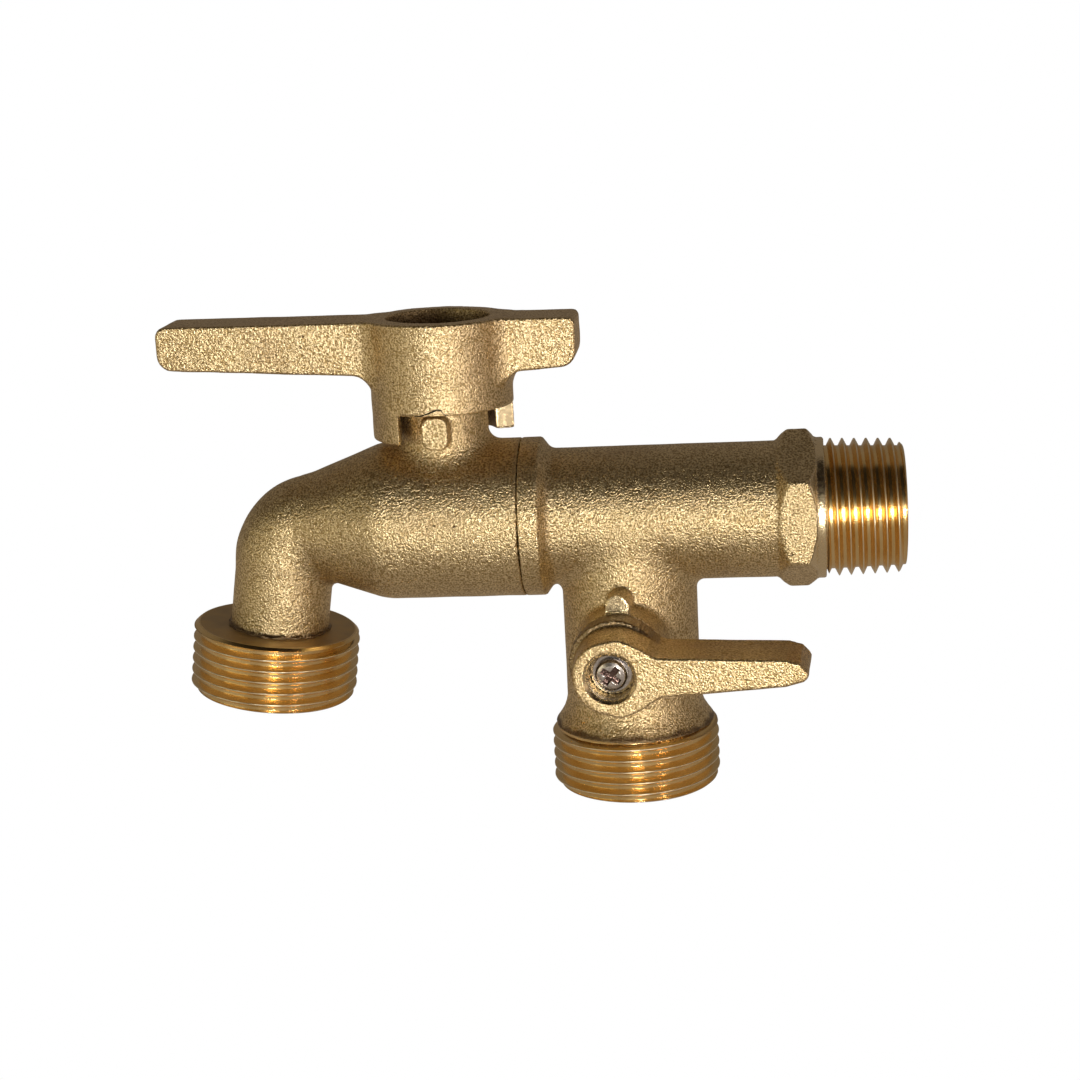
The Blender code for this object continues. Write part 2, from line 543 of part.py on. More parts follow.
CAST = principled("cast_brass", (0.42, 0.28, 0.12), 1.0, 0.45)
TURNED = principled("turned_brass", (0.70, 0.45, 0.16), 1.0, 0.22)
CHROME = principled("chromed_brass", (0.75, 0.75, 0.76), 1.0, 0.08)
STEEL = principled("stainless_steel", (0.60, 0.58, 0.56), 1.0, 0.25)
PTFE = principled("ptfe", (0.88, 0.87, 0.84), 0.0, 0.5)
RUBBER = principled("nitrile_rubber", (0.02, 0.02, 0.02), 0.0, 0.6)
MATERIAL = {
    "inlet_tee_body": CAST, "spout_body": CAST, "main_handle": CAST, "branch_lever": CAST,
    "main_stem": TURNED, "branch_stem": TURNED, "branch_ball_retainer": TURNED,
    "main_ball": CHROME, "branch_ball": CHROME,
    "main_handle_washer": STEEL, "main_handle_screw": STEEL, "branch_lever_washer": STEEL, "branch_lever_screw": STEEL,
    "main_seat_inlet_side": PTFE, "main_seat_spout_side": PTFE, "branch_seat_upper": PTFE, "branch_seat_lower": PTFE,
    "main_stem_thrust_washer": PTFE, "branch_stem_thrust_washer": PTFE,
    "body_joint_seal": RUBBER, "main_stem_oring_lower": RUBBER, "main_stem_oring_upper": RUBBER,
    "branch_stem_oring_inner": RUBBER, "branch_stem_oring_outer": RUBBER,
}


def pivot(name, place):
    """An empty on a joint's axis."""
    empty = bpy.data.objects.new(name, None)
    empty.empty_display_size = 0.01
    empty.location = [c * MM for c in place]
    bpy.context.scene.collection.objects.link(empty)
    return empty


housing = pivot("housing_frame", (-X_ORIGIN, 0, 0))
main_pivot = pivot("main_spindle_axis", (X_VALVE - X_ORIGIN, 0, 0))
branch_pivot = pivot("branch_spindle_axis", (-X_ORIGIN, 0, Z_BRANCH_VALVE))
MAIN = {"main_ball", "main_stem", "main_stem_oring_lower", "main_stem_oring_upper", "main_handle", "main_handle_washer", "main_handle_screw"}
BRANCH = {"branch_ball", "branch_stem", "branch_stem_oring_inner", "branch_stem_oring_outer", "branch_lever", "branch_lever_washer", "branch_lever_screw"}
for name, obj in NODES.items():
    obj.name = name
    obj.data.name = name
    obj.data.materials.clear()
    obj.data.materials.append(MATERIAL[name])
    parent = main_pivot if name in MAIN else branch_pivot if name in BRANCH else housing
    # the meshes are drawn from the tee's centre: move them to the real origin, then onto their pivot
    shift = Vector((-X_ORIGIN * MM, 0, 0)) - Vector(parent.location)
    obj.data.transform(Matrix.Translation(shift) @ Matrix.Scale(MM, 4))
    obj.parent = parent
bpy.context.view_layer.update()
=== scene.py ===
# Hose bib: the looks. Two rough brass castings with polished threads, a cast T-handle and a cast side lever.
#
# The shapes are written as signed distances in millimetres from the tee's centre, meshed here, and moved into the row frame.

import math

import bpy
import numpy as np
from mathutils import Matrix, Vector


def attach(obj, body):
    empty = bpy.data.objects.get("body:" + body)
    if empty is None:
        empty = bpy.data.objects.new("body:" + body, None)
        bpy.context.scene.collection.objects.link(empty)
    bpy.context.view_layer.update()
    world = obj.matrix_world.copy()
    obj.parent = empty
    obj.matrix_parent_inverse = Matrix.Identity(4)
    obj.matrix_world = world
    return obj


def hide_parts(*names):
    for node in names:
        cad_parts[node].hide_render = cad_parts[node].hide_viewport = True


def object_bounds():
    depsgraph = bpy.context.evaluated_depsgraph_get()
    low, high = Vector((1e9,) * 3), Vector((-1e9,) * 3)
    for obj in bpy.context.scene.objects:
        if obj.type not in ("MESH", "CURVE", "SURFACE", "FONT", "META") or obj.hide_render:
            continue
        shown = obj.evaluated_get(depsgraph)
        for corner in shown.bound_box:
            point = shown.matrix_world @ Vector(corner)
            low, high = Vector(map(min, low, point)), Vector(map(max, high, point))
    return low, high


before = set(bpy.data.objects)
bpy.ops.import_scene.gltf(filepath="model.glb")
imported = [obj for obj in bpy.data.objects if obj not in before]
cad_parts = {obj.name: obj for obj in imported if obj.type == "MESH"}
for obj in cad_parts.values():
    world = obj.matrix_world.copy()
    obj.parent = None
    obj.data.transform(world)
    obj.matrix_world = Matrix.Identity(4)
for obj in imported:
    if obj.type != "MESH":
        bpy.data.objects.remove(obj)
cad_lo, cad_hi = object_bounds()

MM = 0.001
X_ORIGIN = 42.7  # the row frame's origin, in millimetres from the tee's centre
PITCH = 1.814
SCENE = bpy.context.scene

# ---------------------------------------------------------------- distances


def hyp(a, b):
    return np.sqrt(a * a + b * b)


def union(a, b, r=0.0):
    if r <= 0:
        return np.minimum(a, b)
    return np.maximum(r, np.minimum(a, b)) - hyp(np.maximum(r - a, 0), np.maximum(r - b, 0))


def common(a, b, r=0.0):
    if r <= 0:
        return np.maximum(a, b)
    return np.minimum(-r, np.maximum(a, b)) + hyp(np.maximum(r + a, 0), np.maximum(r + b, 0))


def minus(a, b, r=0.0):
    return common(a, -b, r)


def slab(v, lo, hi):
    return np.maximum(lo - v, v - hi)


def polygon(u, v, pts):
    """Exact signed distance to a closed outline in the u, v plane."""
    u, v = np.broadcast_arrays(u, v)
    best = np.full(u.shape, 1e9)
    odd = np.zeros(u.shape, bool)
    for (x0, y0), (x1, y1) in zip(pts, pts[1:] + pts[:1]):
        ex, ey = x1 - x0, y1 - y0
        length2 = ex * ex + ey * ey
        if length2 < 1e-12:
            continue
        wx, wy = u - x0, v - y0
        t = np.clip((wx * ex + wy * ey) / length2, 0, 1)
        dx, dy = wx - t * ex, wy - t * ey
        np.minimum(best, dx * dx + dy * dy, out=best)
        if y0 != y1:
            cross = (y0 > v) != (y1 > v)
            odd ^= cross & (u < x0 + (v - y0) * ex / ey)
    return np.where(odd, -1.0, 1.0) * np.sqrt(best)


def rounded(pts, steps=5):
    """An outline of (x, y, corner radius) with each corner as an arc."""
    out = []
    n = len(pts)
    for k in range(n):
        p, r = Vector(pts[k][:2]), pts[k][2]
        if r <= 0:
            out.append(tuple(p))
            continue
        a = (Vector(pts[k - 1][:2]) - p).normalized()
        b = (Vector(pts[(k + 1) % n][:2]) - p).normalized()
        half = a.angle(b) / 2
        reach = r / math.tan(half)
        centre = p + (a + b).normalized() * (r / math.sin(half))
        start, end = p + a * reach - centre, p + b * reach - centre
        turn = math.atan2(start.x * end.y - start.y * end.x, start.dot(end))
        for i in range(steps + 1):
            t = turn * i / steps
            out.append((centre.x + start.x * math.cos(t) - start.y * math.sin(t), centre.y + start.x * math.sin(t) + start.y * math.cos(t)))
    return out


def lumps(x, y, z, seed, big=0.022, small=0.0025):
    """The slight waviness that a sand casting has."""
    rng = np.random.default_rng(seed)
    total = 0.0
    for size, low, high in ((big, 3.2, 6.0), (small, 1.1, 1.8)):
        for _ in range(5):
            d = rng.normal(size=3)
            d *= 2 * math.pi / (rng.uniform(low, high) * np.linalg.norm(d))
            total = total + size * 0.45 * np.sin(d[0] * x + d[1] * y + d[2] * z + rng.uniform(0, 6.28))
    return total


# ---------------------------------------------------------------- meshing


def nets(f, lo, hi, h):
    """Closed quad mesh of the surface f = 0."""
    axes = [np.arange(lo[i], hi[i] + h, h) for i in range(3)]
    n = [len(a) for a in axes]
    field = np.empty(n, np.float32)
    for i in range(0, n[0], 24):
        field[i:i + 24] = f(axes[0][i:i + 24, None, None], axes[1][None, :, None], axes[2][None, None, :])
    inside = field < 0
    c = [m - 1 for m in n]
    count = np.zeros(c, np.int8)
    for i in (0, 1):
        for j in (0, 1):
            for k in (0, 1):
                count += inside[i:i + c[0], j:j + c[1], k:k + c[2]]
    active = (count > 0) & (count < 8)
    index = np.full(c, -1, np.int64)
    index[active] = np.arange(int(active.sum()))
    cells = np.argwhere(active)
    place = np.zeros((len(cells), 3))
    hits = np.zeros(len(cells))
    for axis in range(3):
        b, d = (axis + 1) % 3, (axis + 2) % 3
        for ob in (0, 1):
            for od in (0, 1):
                p0 = cells.copy()
                p0[:, b] += ob
                p0[:, d] += od
                p1 = p0.copy()
                p1[:, axis] += 1
                f0, f1 = field[tuple(p0.T)].astype(float), field[tuple(p1.T)].astype(float)
                m = (f0 < 0) != (f1 < 0)
                q = p0[m].astype(float)
                q[:, axis] += f0[m] / (f0[m] - f1[m])
                place[m] += q
                hits[m] += 1
    verts = np.array(lo, float) + place / hits[:, None] * h
    quads = []
    for axis in range(3):
        b, d = (axis + 1) % 3, (axis + 2) % 3
        low = inside[tuple(slice(0, -1) if k == axis else slice(None) for k in range(3))]
        high = inside[tuple(slice(1, None) if k == axis else slice(None) for k in range(3))]
        e = np.argwhere(low != high)
        e = e[(e[:, b] > 0) & (e[:, d] > 0) & (e[:, b] < n[b] - 1) & (e[:, d] < n[d] - 1)]
        ring = []
        for ob, od in ((1, 1), (0, 1), (0, 0), (1, 0)):
            k = e.copy()
            k[:, b] -= ob
            k[:, d] -= od
            ring.append(index[tuple(k.T)])
        q = np.stack(ring, 1)
        out = low[tuple(e.T)]
        q[~out] = q[~out][:, ::-1]
        quads.append(q)
    return verts, np.concatenate(quads)


def gradient(f, p, eps):
    g = np.empty_like(p)
    for k in range(3):
        a, b = p.copy(), p.copy()
        a[:, k] += eps
        b[:, k] -= eps
        g[:, k] = f(*a.T) - f(*b.T)
    return g / (2 * eps)


def unit(v):
    return v / np.maximum(np.linalg.norm(v, axis=1), 1e-9)[:, None]


def make_object(name, verts, faces, normals, matrix, attributes, material, body, replaces):
    """verts in mm in a local frame; matrix (3x3, offset) takes them to the tee's frame."""
    turn, offset = matrix
    world = verts @ turn.T + offset
    world[:, 0] -= X_ORIGIN
    mesh = bpy.data.meshes.new(name)
    mesh.from_pydata((world * MM).tolist(), [], faces.tolist())
    mesh.update()
    mesh.polygons.foreach_set("use_smooth", [True] * len(mesh.polygons))
    mesh.normals_split_custom_set_from_vertices((normals @ turn.T).tolist())
    for key, values in attributes.items():
        mesh.attributes.new(key, "FLOAT", "POINT").data.foreach_set("value", np.asarray(values, np.float32))
    mesh.materials.append(material)
    obj = bpy.data.objects.new(name, mesh)
    SCENE.collection.objects.link(obj)
    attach(obj, body)
    if replaces:
        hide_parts(*replaces)
    print(f"{name}: {sum(len(q) - 2 for q in faces)} triangles")
    return obj


IDENTITY = (np.eye(3), np.zeros(3))


def solid(name, f, lo, hi, h, material, body, replaces=(), matrix=IDENTITY, machined=None, eps=0.07, painted_shade=None):
    verts, quads = nets(f, lo, hi, h)
    edges = np.concatenate([quads[:, [i, (i + 1) % 4]] for i in range(4)])
    for step in range(4):
        g = gradient(f, verts, 0.02)
        value = np.clip(f(*verts.T), -0.5 * h, 0.5 * h)
        verts = verts - g * (value / np.maximum((g * g).sum(1), 0.2))[:, None]
        if step in (0, 1):
            n = unit(g)
            near = np.stack([
                np.bincount(edges[:, 0], verts[edges[:, 1], k], len(verts)) + np.bincount(edges[:, 1], verts[edges[:, 0], k], len(verts))
                for k in range(3)
            ], 1) / np.bincount(edges.ravel(), minlength=len(verts))[:, None]
            d = near - verts
            verts = verts + 0.5 * (d - n * (d * n).sum(1)[:, None])
    n = unit(gradient(f, verts, eps))
    attributes = {
        # painted shade: how enclosed each point is, used to darken hollows in the brass material
        "hollow_shade": np.clip(1 - f(*(verts + n * 0.8).T) / 0.8, 0, 1),
        # painted highlight: how thin each point is, used to lighten convex edges in the brass material
        "edge_highlight": np.clip(1 + f(*(verts - n * 0.6).T) / 0.6, 0, 1),
        "cut": machined(*verts.T) if machined else np.full(len(verts), 9.0),
        # painted shade: per-point amount of darkening, from the given function
        "painted_shade": np.clip(painted_shade(*verts.T), 0, 1) if painted_shade else np.zeros(len(verts)),
    }
    return make_object(name, verts, quads, n, matrix, attributes, material, body, replaces)


def turned(name, centre, axis, u, v, rows, material, body, replaces=(), seg=180):
    """Ring swept from rows; each row is (stations, radii, normal along the axis, normal outwards, normal around, crest
    mark), arrays over the angle. The crest mark is painted light: above zero a painted highlight, below zero painted
    shade.
    """
    phi = 2 * np.pi * np.arange(seg) / seg
    axis, u, v = (np.array(w, float) for w in (axis, u, v))
    verts, normals, crest, axial = [], [], [], []
    one = np.ones(seg)
    radial = np.cos(phi)[:, None] * u + np.sin(phi)[:, None] * v
    around = -np.sin(phi)[:, None] * u + np.cos(phi)[:, None] * v
    for s, r, ns, nr, na, top in rows:
        s, r, ns, nr, na, top = (w * one for w in (s, r, ns, nr, na, top))
        verts.append(np.array(centre, float) + s[:, None] * axis + r[:, None] * radial)
        normals.append(unit(ns[:, None] * axis + nr[:, None] * radial + na[:, None] * around))
        crest.append(top)
        axial.append(s)
    m = len(rows)
    k = np.arange(seg)
    faces = []
    for i in range(m):
        a, b = i * seg, (i + 1) % m * seg
        faces.append(np.stack([a + k, a + (k + 1) % seg, b + (k + 1) % seg, b + k], 1))
    faces = np.concatenate(faces)
    verts, normals = np.concatenate(verts), np.concatenate(normals)
    # every face points the way of the normals given
    q = verts[faces[:, 0]], verts[faces[:, 1]], verts[faces[:, 3]]
    side = (np.cross(q[1] - q[0], q[2] - q[0]) * normals[faces[:, 0]]).sum(1)
    if np.median(side) < 0:
        faces = faces[:, ::-1]
    # the crest attribute carries the painted highlight and painted shade of the rows
    return make_object(name, verts, faces, normals, IDENTITY, {"crest": np.concatenate(crest), "axial": np.concatenate(axial)}, material, body, replaces)


def straight(points, sub=3, mark=0.0):
    """Rows along a polyline of (station, radius); the solid lies to the right of the way it runs, so the normal is to the left."""
    rows = []
    for (s0, r0), (s1, r1) in zip(points, points[1:]):
        length = math.hypot(s1 - s0, r1 - r0)
        ds, dr = (s1 - s0) / length, (r1 - r0) / length
        near = min(0.035, length * 0.2)
        for t in np.linspace(near / length, 1 - near / length, sub + 1):
            # mark is the rows' crest mark: below zero it paints shade
            rows.append((s0 + (s1 - s0) * t, r0 + (r1 - r0) * t, -dr, ds, 0.0, mark))
    return rows


def threaded(s0, s1, step, major, depth, first, hand, low, high):
    """Rows of a 55 degree thread. major(s) is the crest radius, first the crest's station at angle 0, low/high end envelopes."""
    phi = 2 * np.pi * np.arange(180) / 180

    def radius(s, p):
        phase = (s - first) / PITCH - hand * p / (2 * np.pi)
        d = np.abs(phase - np.round(phase)) * PITCH
        t = np.clip((d - 0.07) / (PITCH / 2 - 0.07 - 0.26), 0, 1)
        r = major(s) - depth * t
        # top: painted highlight on the crests; where the start envelope cuts into the thread it is -0.9 below station
        # 35, painted shade, and 0 beyond
        top = np.clip(1 - (d - 0.05) / 0.09, 0, 1)
        top = np.where(low(s) < r - 0.02, -0.9 * (s < 35), top)
        return np.minimum(np.minimum(r, low(s)), high(s)), top

    rows = []
    for s in np.arange(s0, s1 + 1e-6, step):
        r, top = radius(s, phi)
        e = 0.035
        drs = (radius(s + e, phi)[0] - radius(s - e, phi)[0]) / (2 * e)
        drp = (radius(s, phi + 0.004)[0] - radius(s, phi - 0.004)[0]) / (0.008 * r)
        rows.append((s, r, -drs, 1.0, -drp, top))
    return rows


# ---------------------------------------------------------------- materials


class Nodes:
    """A short way to write a node material."""

    def __init__(self, name):
        self.material = bpy.data.materials.new(name)
        self.material.use_nodes = True
        self.tree = self.material.node_tree
        self.shader = self.tree.nodes["Principled BSDF"]
        self.where = self.add("ShaderNodeTexCoord").outputs["Object"]

    def add(self, kind, **settings):
        node = self.tree.nodes.new(kind)
        for key, value in settings.items():
            setattr(node, key, value)
        return node

    def put(self, value, socket):
        if hasattr(value, "is_output"):
            self.tree.links.new(value, socket)
        else:
            socket.default_value = value

    def noise(self, scale, detail=2.0, rough=0.5, where=None, stretch=None):
        node = self.add("ShaderNodeTexNoise")
        vector = where or self.where
        if stretch:
            mapping = self.add("ShaderNodeMapping")
            mapping.inputs["Scale"].default_value = stretch
            self.put(vector, mapping.inputs["Vector"])
            vector = mapping.outputs[0]
        self.put(vector, node.inputs["Vector"])
        node.inputs["Scale"].default_value = scale
        node.inputs["Detail"].default_value = detail
        node.inputs["Roughness"].default_value = rough
        return node.outputs["Fac"]

    def cells(self, scale):
        node = self.add("ShaderNodeTexVoronoi")
        self.put(self.where, node.inputs["Vector"])
        node.inputs["Scale"].default_value = scale
        return node.outputs["Distance"]

    def attribute(self, name):
        return self.add("ShaderNodeAttribute", attribute_name=name).outputs["Fac"]

    def math(self, operation, a, b=0.0, c=0.0):
        node = self.add("ShaderNodeMath", operation=operation)
        for value, socket in zip((a, b, c), node.inputs):
            self.put(value, socket)
        return node.outputs[0]

    def ramp(self, value, a, b, lo=0.0, hi=1.0):
        node = self.add("ShaderNodeMapRange")
        for v, key in ((value, "Value"), (a, "From Min"), (b, "From Max"), (lo, "To Min"), (hi, "To Max")):
            self.put(v, node.inputs[key])
        return node.outputs["Result"]

    def mix(self, factor, a, b, blend="MIX"):
        node = self.add("ShaderNodeMix", data_type="RGBA", blend_type=blend)
        self.put(factor, node.inputs["Factor"])
        self.put(a if hasattr(a, "is_output") else (*a, 1), node.inputs["A"])
        self.put(b if hasattr(b, "is_output") else (*b, 1), node.inputs["B"])
        return node.outputs["Result"]

    def bump(self, height, distance, strength=1.0, after=None):
        node = self.add("ShaderNodeBump")
        self.put(height, node.inputs["Height"])
        node.inputs["Distance"].default_value = distance
        node.inputs["Strength"].default_value = strength
        if after is not None:
            self.put(after, node.inputs["Normal"])
        return node.outputs["Normal"]

    def done(self, colour, metallic, roughness, normal=None):
        self.put(colour, self.shader.inputs["Base Color"])
        self.put(metallic, self.shader.inputs["Metallic"])
        self.put(roughness, self.shader.inputs["Roughness"])
        if normal is not None:
            self.put(normal, self.shader.inputs["Normal"])
        return self.material


def cast_brass(name, tint=(1.0, 1.0, 1.0), grain=1.0):
    m = Nodes(name)
    fine = m.noise(3500, 1.5, 0.5)
    coarse = m.noise(1400, 2.0, 0.55)
    patch = m.noise(130, 3.0, 0.6)
    pits = m.ramp(m.cells(620), 0.03, 0.13, 1.0, 0.0)
    rare = m.ramp(m.noise(260, 1.0), 0.60, 0.66)
    pits = m.math("MULTIPLY", pits, rare)
    hollow_shade = m.ramp(m.attribute("hollow_shade"), 0.25, 1.0)
    edge_highlight = m.ramp(m.attribute("edge_highlight"), 0.15, 0.8)
    cut = m.ramp(m.attribute("cut"), -0.08, 0.02, 1.0, 0.0)

    light = tuple(c * t for c, t in zip((0.92, 0.75, 0.46), tint))
    mid = tuple(c * t for c, t in zip((0.43, 0.305, 0.14), tint))
    # dark is the colour of the painted shade in hollows
    dark = tuple(c * t for c, t in zip((0.17, 0.10, 0.045), tint))
    colour = m.mix(m.ramp(fine, 0.39, 0.61), mid, light)
    colour = m.mix(m.ramp(patch, 0.55, 0.75, 0.0, 0.35), colour, (0.47, 0.325, 0.185))
    # painted shade: hollows and recesses darkened towards dark brown
    colour = m.mix(m.math("MULTIPLY", hollow_shade, 0.90), colour, dark)
    colour = m.mix(m.math("MULTIPLY", pits, 0.85), colour, (0.10, 0.055, 0.02))
    # painted highlight: convex edges lightened towards pale brass
    colour = m.mix(m.math("MULTIPLY", edge_highlight, 0.35), colour, (0.86, 0.69, 0.41))
    colour = m.mix(cut, colour, (0.84, 0.69, 0.44))
    # painted shade: bores, recesses, undercut bands and upward faces darkened towards dark brown
    painted_shade = m.attribute("painted_shade")
    colour = m.mix(m.math("MULTIPLY", painted_shade, 0.85), colour, (0.13, 0.08, 0.045))
    rough = m.ramp(coarse, 0.3, 0.7, 0.34, 0.45)
    rough = m.math("SUBTRACT", rough, m.math("MULTIPLY", cut, 0.14))
    height = m.math("ADD", fine, m.math("MULTIPLY", coarse, 0.40))
    height = m.math("SUBTRACT", height, m.math("MULTIPLY", pits, 0.8))
    height = m.math("MULTIPLY", height, m.math("SUBTRACT", 1.0, m.math("MULTIPLY", cut, 0.85)))
    return m.done(colour, 1.0, rough, m.bump(height, 0.00019 * grain))


def turned_brass(name):
    m = Nodes(name)
    axial = m.attribute("axial")
    combine = m.add("ShaderNodeCombineXYZ")
    m.put(axial, combine.inputs[0])
    lines = m.noise(7.0, 2.0, 0.6, where=combine.outputs[0])
    broad = m.noise(240, 2.0)
    mark = m.attribute("crest")
    crest = m.ramp(mark, 0.0, 1.0)
    # painted shade: faces whose crest mark is below zero
    painted_shade = m.ramp(mark, -1.0, 0.0, 1.0, 0.0)
    colour = m.mix(m.ramp(broad, 0.35, 0.65), (0.85, 0.61, 0.27), (0.93, 0.70, 0.36))
    colour = m.mix(m.ramp(lines, 0.45, 0.62, 0.0, 0.25), colour, (0.68, 0.45, 0.18))
    # painted highlight: thread crests lightened towards near white
    colour = m.mix(m.math("MULTIPLY", crest, 0.85), colour, (0.98, 0.90, 0.72))
    # painted shade: those faces darkened towards dark brown
    colour = m.mix(m.math("MULTIPLY", painted_shade, m.ramp(broad, 0.3, 0.7, 0.40, 0.65)), colour, (0.20, 0.14, 0.09))
    rough = m.math("ADD", m.ramp(lines, 0.3, 0.7, 0.17, 0.27), m.math("MULTIPLY", crest, 0.14))
    rough = m.math("ADD", rough, m.math("MULTIPLY", painted_shade, 0.25))
    return m.done(colour, 1.0, rough, m.bump(m.math("ADD", lines, m.math("MULTIPLY", broad, 0.3)), 0.000012))


def plain_metal(name, a, b, rough0, rough1, scale, distance, stretch=None, shade=(0.17, 0.115, 0.10)):
    m = Nodes(name)
    n = m.noise(scale, 3.0, 0.6, stretch=stretch)
    broad = m.noise(180, 2.0)
    colour = m.mix(m.ramp(n, 0.35, 0.65), a, b)
    # painted shade: screw recesses and shanks darkened towards the shade colour
    colour = m.mix(m.attribute("painted_shade"), colour, shade)
    return m.done(colour, 1.0, m.ramp(broad, 0.3, 0.7, rough0, rough1), m.bump(n, distance))


def plain_soft(name, a, b, rough0, rough1, scale, distance):
    m = Nodes(name)
    n = m.noise(scale, 3.0, 0.6)
    return m.done(m.mix(m.ramp(n, 0.35, 0.65), a, b), 0.0, m.ramp(n, 0.3, 0.7, rough0, rough1), m.bump(n, distance))


CAST = cast_brass("cast_brass_body")
CAST_HANDLE = cast_brass("cast_brass_handle", (0.98, 0.97, 0.98), 0.85)
CAST_LEVER = cast_brass("cast_brass_lever", (1.02, 1.0, 0.98), 0.6)
TURNED = turned_brass("turned_brass_polished")
STEEL = plain_metal("stainless_steel_pressed", (0.50, 0.46, 0.44), (0.74, 0.70, 0.68), 0.18, 0.28, 1800, 0.00001)
CHROME = plain_metal("chromed_brass_plated", (0.72, 0.73, 0.75), (0.80, 0.80, 0.81), 0.05, 0.09, 2600, 0.000002)
PTFE = plain_soft("ptfe_white", (0.84, 0.83, 0.79), (0.91, 0.90, 0.87), 0.42, 0.58, 1500, 0.000008)
RUBBER = plain_soft("nitrile_rubber_black", (0.014, 0.014, 0.015), (0.030, 0.029, 0.028), 0.5, 0.7, 2200, 0.00001)

BY_SLOT = {
    "cast_brass": CAST, "turned_brass": TURNED, "chromed_brass": CHROME, "stainless_steel": STEEL, "ptfe": PTFE, "nitrile_rubber": RUBBER,
}
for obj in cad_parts.values():
    for holder in obj.material_slots:
        for key, material in BY_SLOT.items():
            if holder.material and holder.material.name.split(".")[0] == key:
                holder.material = material
                break

# ---------------------------------------------------------------- the inlet tee casting

YAW = math.radians(4.2)
OUT = np.array((-math.sin(YAW), -math.cos(YAW), 0.0))  # the branch valve's stem, outwards
SIDE = np.array((math.cos(YAW), -math.sin(YAW), 0.0))  # along the lever at rest
ZB = -18.8

TEE_COLLAR = [(-19.3, -5), (-19.3, 9.7), (-19.0, 10.0), (-18.55, 10.0), (-18.55, 8.45), (-16.65, 8.45), (-16.65, 10.0), (-15.85, 10.0),
              (-15.85, 12.28), (-15.77, 12.36), (-13.0, 12.36), (-12.75, 12.25), (-11.3, 10.3), (-11.0, -5)]
BRANCH = [(1.0, -5), (1.0, 9.6), (4.0, 9.9), (9.5, 10.54), (29.0, 10.54), (30.0, 10.75), (31.2, 11.2), (32.4, 11.9), (33.3, 12.55), (33.55, 12.55), (33.55, -5)]
BRANCH_BORE = [(0.5, -5), (0.5, 4.6), (12.3, 4.6), (12.3, 7.0), (29.6, 7.0), (32.0, 9.35), (40.0, 9.35), (40.0, -5)]
STEM_BORE_B = [(3.0, -3), (3.0, 3.4), (8.9, 3.4), (8.9, 3.0), (22.0, 3.0), (22.0, -3)]


def hex_front_cone(x, rho):
    return 0.779 * (x - 28.18) + 0.627 * (rho - 12.24)


def tee(x, y, z):
    rho = hyp(y, z)
    f = common(rho - 10.52, slab(x, -14.0, 26.0))
    f = union(f, polygon(x, rho, TEE_COLLAR), 0.6)
    rb = hyp(x, y)
    f = union(f, polygon(-z, rb, BRANCH), 1.6)
    # the hexagon, chamfered at both ends, and the turned shoulder beyond it
    a, b, c = np.abs(y) - 10.869, np.abs(0.5 * y + 0.866025 * z) - 10.869, np.abs(0.5 * y - 0.866025 * z) - 10.869
    hexagon = common(common(a, b, 0.35), c, 0.35)
    hexagon = common(hexagon, slab(x, 23.3, 29.3), 0.15)
    hexagon = common(hexagon, hex_front_cone(x, rho), 0.2)
    hexagon = common(hexagon, -0.765 * (x - 23.4) + 0.644 * (rho - 10.6), 0.35)
    f = union(f, hexagon, 0.45)
    f = union(f, common(rho - 10.85, slab(x, 28.0, 30.6), 0.3), 0.12)
    # the side valve's neck, its half-round lug and the quarter-turn stop on its face
    t, p, q = OUT[0] * x + OUT[1] * y, SIDE[0] * x + SIDE[1] * y, z - ZB
    rn = hyp(p, q)
    f = union(f, common(rn - 7.0, slab(t, 0.0, 15.4), 0.3), 0.9)
    lug = hyp(p, q - np.clip(q, 4.0, 7.77)) - 1.83
    f = union(f, common(lug, slab(t, 4.0, 15.25), 0.2), 0.35)
    stop = common(common(slab(rn, 3.9, 5.6), (np.abs(np.arctan2(q, p) - np.pi / 2) - math.radians(20)) * rn), slab(t, 14.4, 16.6), 0.1)
    f = union(f, stop)
    f = f - lumps(x, y, z, 3) * np.clip((f + 3) / 3, 0, 1)
    f = minus(f, rho - 7.25, 0.1)
    f = minus(f, polygon(-z, rb, BRANCH_BORE), 0.1)
    f = minus(f, polygon(t, rn, STEM_BORE_B), 0.1)
    return f


def tee_painted_shade(x, y, z):
    # painted shade: the band at the foot of the branch flare next to the thread, and the insides of the bores
    rb, s = hyp(x, y), -z
    ragged = 0.18 * np.sin(9 * np.arctan2(y, x)) + 0.12 * np.sin(23 * np.arctan2(y, x) + 1.0)
    d = np.clip((s - 32.55 - ragged) / 0.4, 0, 1)
    bore = (rb < 9.6) & (s > 12) | (hyp(y, z) < 7.4)
    return np.where(bore, 0.55, d)


def tee_machined(x, y, z):
    rho = hyp(y, z)
    t, p, q = OUT[0] * x + OUT[1] * y, SIDE[0] * x + SIDE[1] * y, z - ZB
    d = np.where(x > 22, np.minimum(-np.abs(hex_front_cone(x, rho)) * 0 + np.abs(hex_front_cone(x, rho)) - 0.12, 29.25 - x), 9.0)
    face = np.maximum(np.abs(t - 15.25) - 0.2, np.maximum(hyp(p, q - 7.77) - 1.8, 7.2 - hyp(p, q)))
    d = np.minimum(d, face)
    d = np.minimum(d, rho - 7.6)
    d = np.minimum(d, np.where(x < -15.7, -1.0, 9.0))
    return np.clip(d, -2, 9)


solid("inlet_tee_casting", tee, (-20.4, -17.8, -34.8), (31.8, 13.8, 13.8), 0.38, CAST, "housing", ["inlet_tee_body"], machined=tee_machined, painted_shade=tee_painted_shade)

# ---------------------------------------------------------------- the spout casting

